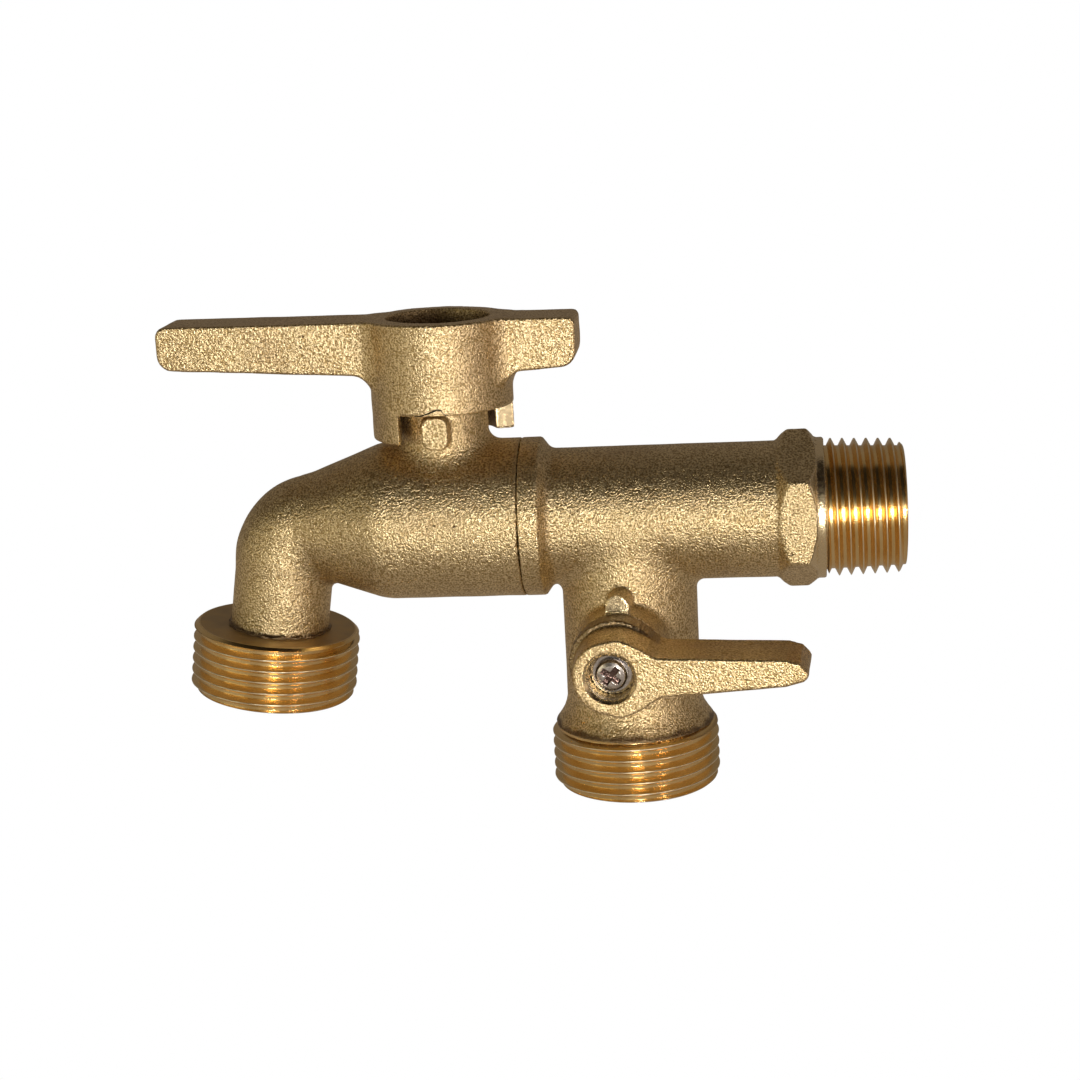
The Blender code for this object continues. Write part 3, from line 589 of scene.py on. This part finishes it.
XV = -27.7
TILT = math.radians(8.14)
DOWN = np.array((-math.sin(TILT), 0.0, -math.cos(TILT)))
OUTLET = np.array((-57.457, 0.0, -22.0))
ELBOW = (-48.6, -5.9)
TOP, END = np.array((-54.45, -5.07)), np.array((OUTLET[0] - 4.5 * DOWN[0] + 0.35, OUTLET[2] - 4.5 * DOWN[2]))
BODY = rounded([(-15.95, -5, 0), (-15.95, 12.36, 0.09), (-37.9, 12.36, 9.0), (-50.8, 7.75, 0), (-50.8, -5, 0)], 12)
CHAMBER = [(-36.1, -5), (-36.1, 9.2), (-19.7, 9.2), (-19.7, 10.35), (-14.0, 10.35), (-14.0, -5)]
STEM_BORE = [(5.0, -5), (5.0, 4.8), (11.4, 4.8), (11.4, 4.0), (23.0, 4.0), (23.0, -5)]


def arc(x, y, z, r):
    a = np.clip(np.arctan2(-(x - ELBOW[0]), z - ELBOW[1]), 0.0, math.radians(81.9))
    dx, dz = x - (ELBOW[0] - 5.9 * np.sin(a)), z - (ELBOW[1] + 5.9 * np.cos(a))
    return np.sqrt(dx * dx + dz * dz + y * y) - r


def run(x, y, z, a, b, r):
    d = b - a
    t = np.clip(((x - a[0]) * d[0] + (z - a[1]) * d[1]) / d.dot(d), 0, 1)
    dx, dz = x - a[0] - t * d[0], z - a[1] - t * d[1]
    return np.sqrt(dx * dx + dz * dz + y * y) - r


def spout(x, y, z):
    rho = hyp(y, z)
    s = (x - OUTLET[0]) * DOWN[0] + (z - OUTLET[2]) * DOWN[2]
    fall = np.clip((-38.0 - x) / 12.6, 0, 1) * 0.34
    pipe = run(x, y, z, TOP, END, 7.75)
    f = union(polygon(x, hyp(y, z + fall), BODY), pipe, 2.0)
    bend = arc(x, y, z, 7.74)
    near = np.maximum(0.6 - np.abs(f - bend), 0) / 0.6
    f = np.minimum(f, bend) - near * near * 0.15
    f = common(f, s + 4.1)
    # the ragged burr where the facing tool stopped at the foot of the spout
    cx, cz = x - OUTLET[0] - s * DOWN[0], z - OUTLET[2] - s * DOWN[2]
    turn = np.arctan2(y, cx - 0.3)
    f = union(f, common(hyp(cx - 0.3, y) - 8.05 - 0.12 * np.sin(7 * turn) - 0.10 * np.sin(19 * turn + 2.0) + cz * 0, slab(s, -5.9 - 0.1 * np.sin(13 * turn), -4.6), 0.1), 0.1)
    rn = hyp(x - XV, y)
    f = union(f, common(rn - 6.85, slab(z, 0.0, 20.6), 0.4), 2.0)
    bx, bz = np.abs(x + 28.0) - 0.45, np.abs(z - 15.17) - 0.91
    lug = hyp(np.maximum(bx, 0), np.maximum(bz, 0)) + np.minimum(np.maximum(bx, bz), 0) - 1.62
    f = union(f, common(lug, slab(y, -9.0, -4.0), 0.3), 0.4)
    f = f - lumps(x, y, z, 3) * np.clip((f + 3) / 3, 0, 1)
    f = minus(f, common(rho - 5.75, slab(x, -50.8, -35.0)))
    f = minus(f, arc(x, y, z, 5.6))
    f = minus(f, run(x, y, z, TOP, END + (END - TOP), 5.45))
    f = minus(f, polygon(x, rho, CHAMBER), 0.1)
    f = minus(f, polygon(z, rn, STEM_BORE), 0.1)
    return f


def spout_painted_shade(x, y, z):
    # painted shade: the spout's foot where it meets the turned outlet, and the stem bore at the top
    s = (x - OUTLET[0]) * DOWN[0] + (z - OUTLET[2]) * DOWN[2]
    d = np.clip((s + 6.35) / 0.45, 0, 1)
    return np.where((s < 0) & (z < -5), d, np.where((hyp(x - XV, y) < 5) & (z > 18), 0.5, 0.0))


def spout_machined(x, y, z):
    d = np.where(x > -16.0, -1.0, 9.0)
    d = np.minimum(d, np.where((z > 20.4) & (x > -40), -1.0, 9.0))
    return np.clip(d, -2, 9)


solid("spout_casting", spout, (-66.0, -13.8, -19.6), (-15.0, 13.8, 21.8), 0.38, CAST, "housing", ["spout_body"], machined=spout_machined, painted_shade=spout_painted_shade)

# ---------------------------------------------------------------- the turned ends

FREE = lambda s: 99.0
X, Y, Z = (1, 0, 0), (0, 1, 0), (0, 0, 1)


def inlet_major(s):
    return 10.4775 + (36.8 - s) / 32


inlet_rows = straight([(29.9, 7.2), (29.9, 9.75)], 2)[:-1]
inlet_rows = straight([(42.35, 7.2), (29.9, 7.2)], 24) + straight([(29.9, 7.2), (29.9, 9.6)], 2)
inlet_rows += threaded(
    30.0, 42.66, 0.07, inlet_major, 1.14, 31.77 - 0.25 * PITCH, 1,
    lambda s: np.where(s < 31.0, inlet_major(s) - 1.14 + np.maximum(s - 30.75, 0) * 3.0, 99.0),
    lambda s: np.where(s > 41.6, inlet_major(41.6) + (41.6 - s) * 1.02, 99.0),
)
inlet_rows += straight([(42.7, 9.14), (42.7, 7.55)], 3) + straight([(42.7, 7.55), (42.35, 7.2)], 1)
# hand 1 with the angle from +Y towards +Z about +X: a crest moves along +X as the angle grows
turned("inlet_thread_turned", (0, 0, 0), X, Y, Z, inlet_rows, TURNED, "housing", ["inlet_tee_body"])

G34 = lambda s: 13.2205
# the chamfer at the top of the branch thread is marked -1.0: painted shade
branch_rows = straight([(42.6, 9.3), (33.0, 9.3)], 20) + straight([(33.0, 9.3), (33.0, 12.0)], 2) + straight([(33.0, 12.0), (33.45, 12.45)], 1, -1.0)
branch_rows += threaded(
    33.5, 43.25, 0.07, G34, 1.10, 35.36 - 0.75 * PITCH, 1,
    lambda s: np.where(s < 34.4, 12.50 + (s - 33.5) * 1.0, 99.0),
    lambda s: np.where(s > 42.5, 13.2 - (s - 42.5) * 1.15, 99.0),
)
branch_rows += straight([(43.3, 12.27), (43.3, 10.0)], 4) + straight([(43.3, 10.0), (42.6, 9.3)], 1)
# stations run down, so the angle from +X towards -Y keeps the set right-handed
turned("branch_outlet_turned", (0, 0, 0), (0, 0, -1), X, (0, -1, 0), branch_rows, TURNED, "housing", ["inlet_tee_body"])

spout_rows = straight([(4.73, 9.3), (-0.6, 9.3)], 12) + straight([(-0.6, 9.3), (-2.6, 5.35)], 2) + straight([(-2.6, 5.35), (-5.4, 5.35)], 3)
# the spout outlet's top face is marked -1.0 and its outer rim -0.4: painted shade
spout_rows += straight([(-5.4, 5.35), (-5.5, 5.6)], 1) + straight([(-5.5, 5.6), (-5.5, 12.3)], 14, -1.0) + straight([(-5.5, 12.3), (-5.5, 12.55)], 1, -0.4) + straight([(-5.5, 12.55), (-5.05, 13.05)], 1)
spout_rows += threaded(
    -4.98, 5.27, 0.07, G34, 1.10, -3.9, 1,
    lambda s: np.where(s < -4.6, 13.1 + (s + 5.0) * 0.9, 99.0),
    lambda s: np.where(s > 4.55, 13.2 - (s - 4.55) * 1.15, 99.0),
)
spout_rows += straight([(5.33, 12.3), (5.33, 9.9)], 4) + straight([(5.33, 9.9), (4.73, 9.3)], 1)
ACROSS = np.array((math.cos(TILT), 0.0, -math.sin(TILT)))
turned("spout_outlet_turned", OUTLET, DOWN, ACROSS, np.cross(DOWN, ACROSS), spout_rows, TURNED, "housing", ["spout_body"])

# ---------------------------------------------------------------- the T-handle

LONG = rounded([
    (-24.0, 31.95, 0), (-71.0, 32.54, 1.7), (-71.0, 25.72, 2.3), (-40.2, 23.78, 2.5), (-36.9, 22.0, 0), (-24.0, 22.0, 0),
])
SHORT = rounded([
    (-31.0, 32.04, 0), (-31.0, 22.2, 0), (-17.6, 22.2, 0), (-15.2, 23.6, 1.2), (-6.3, 24.2, 2.4), (-6.3, 31.73, 1.2),
])
A1 = math.radians(374.5)


def handle_top(x):
    return 32.0 - 0.0125 * (x - XV)


def handle(x, y, z):
    rn = hyp(x - XV, y)
    long_arm = common(polygon(x, z, LONG), np.abs(y) - 5.0, 0.45)
    short_arm = common(polygon(x, z, SHORT), np.abs(y) - 5.0, 0.45)
    f = union(common(rn - 11.0, z - 34.0), union(long_arm, short_arm), 1.8)
    f = common(f, z - handle_top(x), 0.38)
    f = common(f, 13.6 - z, 0.3)
    f = f - lumps(x, y, z, 8, 0.02, 0.0025) * np.clip((f + 2) / 2, 0, 1)
    f = minus(f, common(rn - 8.05, 23.5 - z, 0.1), 0.25)
    f = minus(f, common(rn - 8.05, z - 21.0), 0.15)
    f = minus(f, np.maximum(np.maximum(np.abs(x - XV), np.abs(y)) - 2.7, slab(z, 19.0, 26.0)))
    wx = x - XV
    window = np.maximum(-(0.998 * (wx + 5.58) + 0.045 * (y + 9.48)), math.cos(A1) * y - math.sin(A1) * wx)
    window = common(window, z - 18.2, 0.3)
    return minus(f, window, 0.25)


def handle_painted_shade(x, y, z):
    # painted shade: inside the hub, darker deeper down the top recess, and the bore below
    inside = hyp(x - XV, y) < 8.3
    return np.where(inside & (z > 22), np.clip((31.6 - z) / 2.0, 0, 0.8), np.where(inside, 0.6, 0.0))


def handle_machined(x, y, z):
    wx = x - XV
    end = np.abs(math.cos(A1) * y - math.sin(A1) * wx) - 0.12
    start = np.abs(0.998 * (wx + 5.58) + 0.045 * (y + 9.48)) - 0.12
    d = np.where(z < 18.1, np.minimum(end, start), 9.0)
    return np.clip(np.where(hyp(wx, y) > 7.9, d, 9.0), -2, 9)


solid("t_handle_casting", handle, (-72.2, -12.2, 12.6), (-5.2, 12.2, 33.6), 0.33, CAST_HANDLE, "main_spindle", ["main_handle"], machined=handle_machined, painted_shade=handle_painted_shade)

# a casting lap on the hub's front, just above the window: a short fold with a lifted lip, coloured fully with painted
# shade
LAP = [(-4.3, 18.28), (-3.2, 18.40), (-2.0, 18.80), (-0.75, 19.25), (-0.15, 19.12), (0.15, 18.68), (0.6, 18.25)]
lap_verts, lap_normals = [], []
for k, (dx, z) in enumerate(LAP):
    t = math.asin((dx + 1.4) / 11.0)
    w = 0.16 * math.sin(math.pi * (k + 0.6) / (len(LAP) + 0.2))
    for dr, dz in ((-0.2, -w), (0.045, -w * 0.8), (0.045, w * 0.8), (-0.2, w)):
        r = 11.0 + dr
        lap_verts.append((XV + r * math.sin(t), -r * math.cos(t), z + dz))
        lap_normals.append((math.sin(t), -math.cos(t), 0.8 * dz / max(w, 0.01)))
lap_faces = [(4 * k + i, 4 * k + (i + 1) % 4, 4 * k + 4 + (i + 1) % 4, 4 * k + 4 + i) for k in range(len(LAP) - 1) for i in range(4)]
lap_faces += [(3, 2, 1, 0), (4 * len(LAP) - 4, 4 * len(LAP) - 3, 4 * len(LAP) - 2, 4 * len(LAP) - 1)]
lap_count = len(lap_verts)
make_object("hub_casting_lap", np.array(lap_verts), np.array(lap_faces), unit(np.array(lap_normals)), IDENTITY,
            {"painted_shade": np.full(lap_count, 1.0), "cut": np.full(lap_count, 9.0)}, CAST_HANDLE, "main_spindle", ["main_handle"])

SCREW = [(18.8, -2), (18.8, 1.3), (19.1, 1.6), (24.9, 1.6), (24.9, 3.3), (25.0, 3.4), (26.1, 3.4), (26.8, 3.05), (27.1, 2.3), (27.15, -2)]


def handle_screw(x, y, z):
    rn = hyp(x, y)
    f = polygon(z, rn, SCREW)
    for t in (math.radians(45), math.radians(135)):
        p, q = math.cos(t) * x + math.sin(t) * y, math.cos(t) * y - math.sin(t) * x
        f = minus(f, common(common(np.abs(p) - 1.9, np.abs(q) - 0.36, 0.1), 25.7 - z), 0.06)
    return f


# painted shade: the screw's recess darker with depth, the rest of the screw lightly shaded
solid("t_handle_screw", handle_screw, (-3.7, -3.7, 18.5), (3.7, 3.7, 27.5), 0.13, STEEL, "main_spindle", ["main_handle_screw"],
      matrix=(np.eye(3), np.array((XV, 0.0, 0.0))), eps=0.03, painted_shade=lambda x, y, z: np.where(hyp(x, y) < 2.2, (26.9 - z) / 0.5, 0.15))

# ---------------------------------------------------------------- the side lever

LEVER_FRAME = (np.stack([SIDE, np.array((0.0, 0.0, 1.0)), OUT], 1), np.array((0.0, 0.0, ZB)))
ARM = [(1.5, 4.6), (4.6, 3.75), (7.0, 3.15), (25.8, 2.85), (27.7, 2.3), (28.7, 1.2), (29.0, 0.6), (28.75, 0.0), (28.2, -0.5), (25.6, -1.25), (13.5, -2.4), (7.6, -2.9), (4.6, -4.2), (1.5, -5.2)]
HUB = [(10.0, -5), (10.0, 6.25), (20.6, 6.1), (26.2, 5.6), (30.0, 5.25), (30.0, -5)]
RECESS = [(22.4, -4), (22.4, 3.4), (25.65, 3.4), (26.2, 3.95), (30.0, 7.75), (30.0, -4)]


def lever(a, b, t):
    ra = hyp(a, b)
    f = union(polygon(t, ra, HUB), polygon(a, b, ARM), 2.6)
    f = common(f, t - 26.2, 0.45)
    f = union(f, common(ra - 7.0, t - 19.7, 0.35), 0.5)
    f = common(f, 15.75 - t, 0.3)
    f = f - lumps(a, b, t, 12, 0.014, 0.002) * np.clip((f + 1.5) / 1.5, 0, 1)
    rough = 0.10 * np.sin(a * 3.9 + 1.3 * np.sin(b * 2.7)) * np.sin(b * 4.3 + 0.7 + 1.1 * np.sin(a * 2.1)) * np.clip((20.2 - t) / 0.8, 0, 1)
    f = f - rough * np.clip(1 - np.abs(ra - 7.0) / 0.8, 0, 1)
    f = minus(f, polygon(t, ra, RECESS), 0.12)
    f = minus(f, np.maximum(np.maximum(np.abs(a), np.abs(b)) - 2.07, slab(t, 10.0, 21.5)))
    f = minus(f, np.maximum(ra - 1.45, slab(t, 20.0, 24.0)))
    ang = np.arctan2(b, a) - math.radians(45)
    pocket = np.maximum(slab(ra, 3.6, 5.9), (np.abs(np.arctan2(np.sin(ang), np.cos(ang))) - math.radians(67)) * ra)
    return minus(f, np.maximum(pocket, t - 17.0))


def lever_painted_shade(a, b, t):
    # painted shade: the rough skirt band behind the hub, the top of the arm, and the recess round the screw
    ra = hyp(a, b)
    skirt = np.clip((20.4 - t) / 0.5, 0, 1) * np.clip((ra - 6.0) / 0.4, 0, 1) * np.clip((7.8 - ra) / 0.4, 0, 1)
    top = np.where((b > 2.2) & (a > 5.5) & (t < 25.8), 0.30, 0.0)
    skirt = np.maximum(skirt * 0.75, top)
    return np.maximum(skirt, np.where((ra < 3.3) & (t < 24.5), 0.7, 0.0))


def lever_machined(a, b, t):
    return np.clip(np.where(t > 22.2, hyp(a, b) - 3.98, 9.0), -2, 9)


solid("side_lever_casting", lever, (-8.2, -8.2, 15.0), (30.2, 8.2, 27.2), 0.25, CAST_LEVER, "branch_spindle", ["branch_lever"],
      matrix=LEVER_FRAME, machined=lever_machined, eps=0.05, painted_shade=lever_painted_shade)

SMALL = [(16.8, -2), (16.8, 0.85), (17.05, 1.1), (23.4, 1.1), (23.4, 2.3), (23.5, 2.4), (24.1, 2.4), (24.55, 2.1), (24.75, 1.5), (24.78, -2)]


def lever_screw(a, b, t):
    f = polygon(t, hyp(a, b), SMALL)
    for angle in (50, 148, 231, 322):
        c, s = math.cos(math.radians(angle)), math.sin(math.radians(angle))
        p, q = c * a + s * b, c * b - s * a
        f = minus(f, common(common(slab(p, -0.2, 1.62), np.abs(q) - 0.46, 0.12), 23.6 - t), 0.05)
    return f


# painted shade: the screw's recess darker with depth, and the shank under the head
solid("side_lever_screw", lever_screw, (-2.7, -2.7, 16.6), (2.7, 2.7, 25.0), 0.095, STEEL, "branch_spindle", ["branch_lever_screw"],
      matrix=LEVER_FRAME, eps=0.025, painted_shade=lambda a, b, t: np.where(hyp(a, b) < 1.75, (24.45 - t) / 0.35, np.where(t < 23.9, 0.7, 0.0)))

# ---------------------------------------------------------------- the balls


def main_ball(x, y, z):
    f = np.sqrt(x * x + y * y + z * z) - 8.5
    f = minus(f, hyp(y, z) - 5.75, 0.35)
    return minus(f, np.maximum(np.abs(y) - 1.7, 6.35 - z), 0.15)


solid("main_ball_chromed", main_ball, (-9.2, -9.2, -9.2), (9.2, 9.2, 9.2), 0.3, CHROME, "main_spindle", ["main_ball"],
      matrix=(np.eye(3), np.array((XV, 0.0, 0.0))), eps=0.04)


def branch_ball(a, b, t):
    f = np.sqrt(a * a + b * b + t * t) - 6.3
    f = minus(f, hyp(b, t) - 4.0, 0.3)
    return minus(f, np.maximum(np.abs(b) - 1.3, 4.6 - t), 0.12)


solid("branch_ball_chromed", branch_ball, (-6.9, -6.9, -6.9), (6.9, 6.9, 6.9), 0.25, CHROME, "branch_spindle", ["branch_ball"],
      matrix=LEVER_FRAME, eps=0.04)

# ---------------------------------------------------------------- floor, light and camera


def stage_material():
    m = Nodes("floor_pale")
    diffuse = m.add("ShaderNodeEmission")
    diffuse.inputs["Color"].default_value = (0.29, 0.24, 0.19, 1)
    glow = m.add("ShaderNodeEmission")
    glow.inputs["Color"].default_value = (1, 1, 1, 1)
    path = m.add("ShaderNodeLightPath")
    blend = m.add("ShaderNodeMixShader")
    m.put(path.outputs["Is Camera Ray"], blend.inputs[0])
    m.put(diffuse.outputs[0], blend.inputs[1])
    m.put(glow.outputs[0], blend.inputs[2])
    below = m.add("ShaderNodeMixShader")
    m.put(m.add("ShaderNodeNewGeometry").outputs["Backfacing"], below.inputs[0])
    m.put(blend.outputs[0], below.inputs[1])
    m.put(m.add("ShaderNodeBsdfTransparent").outputs[0], below.inputs[2])
    m.put(below.outputs[0], m.tree.nodes["Material Output"].inputs["Surface"])
    return m.material


floor_mesh = bpy.data.meshes.new("floor")
floor_mesh.from_pydata([(-1.5, -1.5, 0), (1.5, -1.5, 0), (1.5, 1.5, 0), (-1.5, 1.5, 0)], [], [(0, 1, 2, 3)])
floor_mesh.materials.append(stage_material())
floor = bpy.data.objects.new("floor", floor_mesh)
floor.location = (-0.05, 0.0, cad_lo.z - 0.07)
SCENE.collection.objects.link(floor)

world = bpy.data.worlds.new("studio")
SCENE.world = world
world.use_nodes = True
tree = world.node_tree
tree.nodes.clear()


def wnode(kind, **settings):
    node = tree.nodes.new(kind)
    for key, value in settings.items():
        setattr(node, key, value)
    return node


def ramp_of(node, stops):
    elements = node.color_ramp.elements
    while len(elements) > 1:
        elements.remove(elements[-1])
    elements[0].position, elements[0].color = stops[0][0], (*stops[0][1], 1)
    for place, colour in stops[1:]:
        elements.new(place).color = (*colour, 1)


coordinate = wnode("ShaderNodeTexCoord")
parts = wnode("ShaderNodeSeparateXYZ")
tree.links.new(coordinate.outputs["Generated"], parts.inputs[0])
shift = []
for k in range(3):
    node = wnode("ShaderNodeMath", operation="MULTIPLY_ADD")
    node.inputs[1].default_value = 0.5
    node.inputs[2].default_value = 0.5
    tree.links.new(parts.outputs[k], node.inputs[0])
    shift.append(node.outputs[0])
height = wnode("ShaderNodeValToRGB")
ramp_of(height, [(0.0, (0.34, 0.33, 0.31)), (0.42, (0.62, 0.60, 0.56)), (0.54, (1.0, 0.97, 0.92)), (0.59, (0.55, 0.51, 0.47)), (0.66, (0.14, 0.12, 0.105)), (0.76, (0.05, 0.040, 0.033)), (1.0, (0.045, 0.036, 0.030))])
tree.links.new(shift[2], height.inputs[0])
across = wnode("ShaderNodeValToRGB")
ramp_of(across, [(0.0, (0.66, 0.60, 0.42)), (0.24, (0.38, 0.345, 0.21)), (0.50, (0.20, 0.18, 0.14)), (0.76, (0.38, 0.315, 0.27)), (1.0, (0.70, 0.60, 0.53))])
tree.links.new(shift[0], across.inputs[0])
product = wnode("ShaderNodeMix", data_type="RGBA", blend_type="MULTIPLY")
product.inputs["Factor"].default_value = 1.0
tree.links.new(height.outputs[0], product.inputs["A"])
tree.links.new(across.outputs[0], product.inputs["B"])
behind = wnode("ShaderNodeMapRange")
behind.inputs["From Min"].default_value = 0.5
behind.inputs["From Max"].default_value = 0.60
tree.links.new(shift[1], behind.inputs["Value"])
product2 = wnode("ShaderNodeMix", data_type="RGBA")
tree.links.new(behind.outputs["Result"], product2.inputs["Factor"])
tree.links.new(product.outputs["Result"], product2.inputs["A"])
product2.inputs["B"].default_value = (0.155, 0.130, 0.105, 1)
dim = wnode("ShaderNodeBackground")
tree.links.new(product2.outputs["Result"], dim.inputs["Color"])
dim.inputs["Strength"].default_value = 1.15
white = wnode("ShaderNodeBackground")
white.inputs["Color"].default_value = (1, 1, 1, 1)
white.inputs["Strength"].default_value = 1.0
path = wnode("ShaderNodeLightPath")
choose = wnode("ShaderNodeMixShader")
tree.links.new(path.outputs["Is Camera Ray"], choose.inputs[0])
tree.links.new(dim.outputs[0], choose.inputs[1])
tree.links.new(white.outputs[0], choose.inputs[2])
tree.links.new(choose.outputs[0], wnode("ShaderNodeOutputWorld").inputs["Surface"])

MIDDLE = Vector((-0.062, 0.0, -0.008))


def lamp(name, azimuth, elevation, distance, width, height, watts, colour):
    a, e = math.radians(azimuth), math.radians(elevation)
    data = bpy.data.lights.new(name, "AREA")
    data.shape = "RECTANGLE"
    data.size, data.size_y = width, height
    data.energy = watts
    data.color = colour
    obj = bpy.data.objects.new(name, data)
    obj.location = MIDDLE + Vector((math.sin(a) * math.cos(e), -math.cos(a) * math.cos(e), math.sin(e))) * distance
    obj.rotation_euler = (MIDDLE - obj.location).to_track_quat("-Z", "Y").to_euler()
    SCENE.collection.objects.link(obj)
    return obj


lamp("key", 6, 2, 0.62, 0.06, 0.06, 1.20, (1.0, 0.97, 0.90))
lamp("key_low", 5, -10, 0.62, 0.045, 0.20, 0.90, (1.0, 0.96, 0.86))
lamp("second", 40, 1, 0.62, 0.05, 0.09, 0.60, (1.0, 0.86, 0.76))
lamp("left_fill", -48, 3, 0.8, 0.55, 0.45, 0.62, (1.0, 0.92, 0.68))

camera_data = bpy.data.cameras.new("camera")
camera_data.lens = 70.59
camera_data.sensor_width = 36.0
camera_data.clip_start, camera_data.clip_end = 0.01, 20.0
camera = bpy.data.objects.new("camera", camera_data)
yaw, pitch, roll = math.radians(6.06), math.radians(13.71), math.radians(3.09)
back = Vector((math.sin(yaw) * math.cos(pitch), -math.cos(yaw) * math.cos(pitch), math.sin(pitch)))
right = Vector((math.cos(yaw), math.sin(yaw), 0.0))
up = back.cross(right)
right, up = right * math.cos(roll) - up * math.sin(roll), right * math.sin(roll) + up * math.cos(roll)
camera.matrix_world = Matrix((
    (right.x, up.x, back.x, -0.022382), (right.y, up.y, back.y, -0.320964), (right.z, up.z, back.z, 0.074805), (0, 0, 0, 1),
))
SCENE.collection.objects.link(camera)
SCENE.camera = camera
SCENE.view_settings.view_transform = "Standard"
SCENE.view_settings.look = "None"
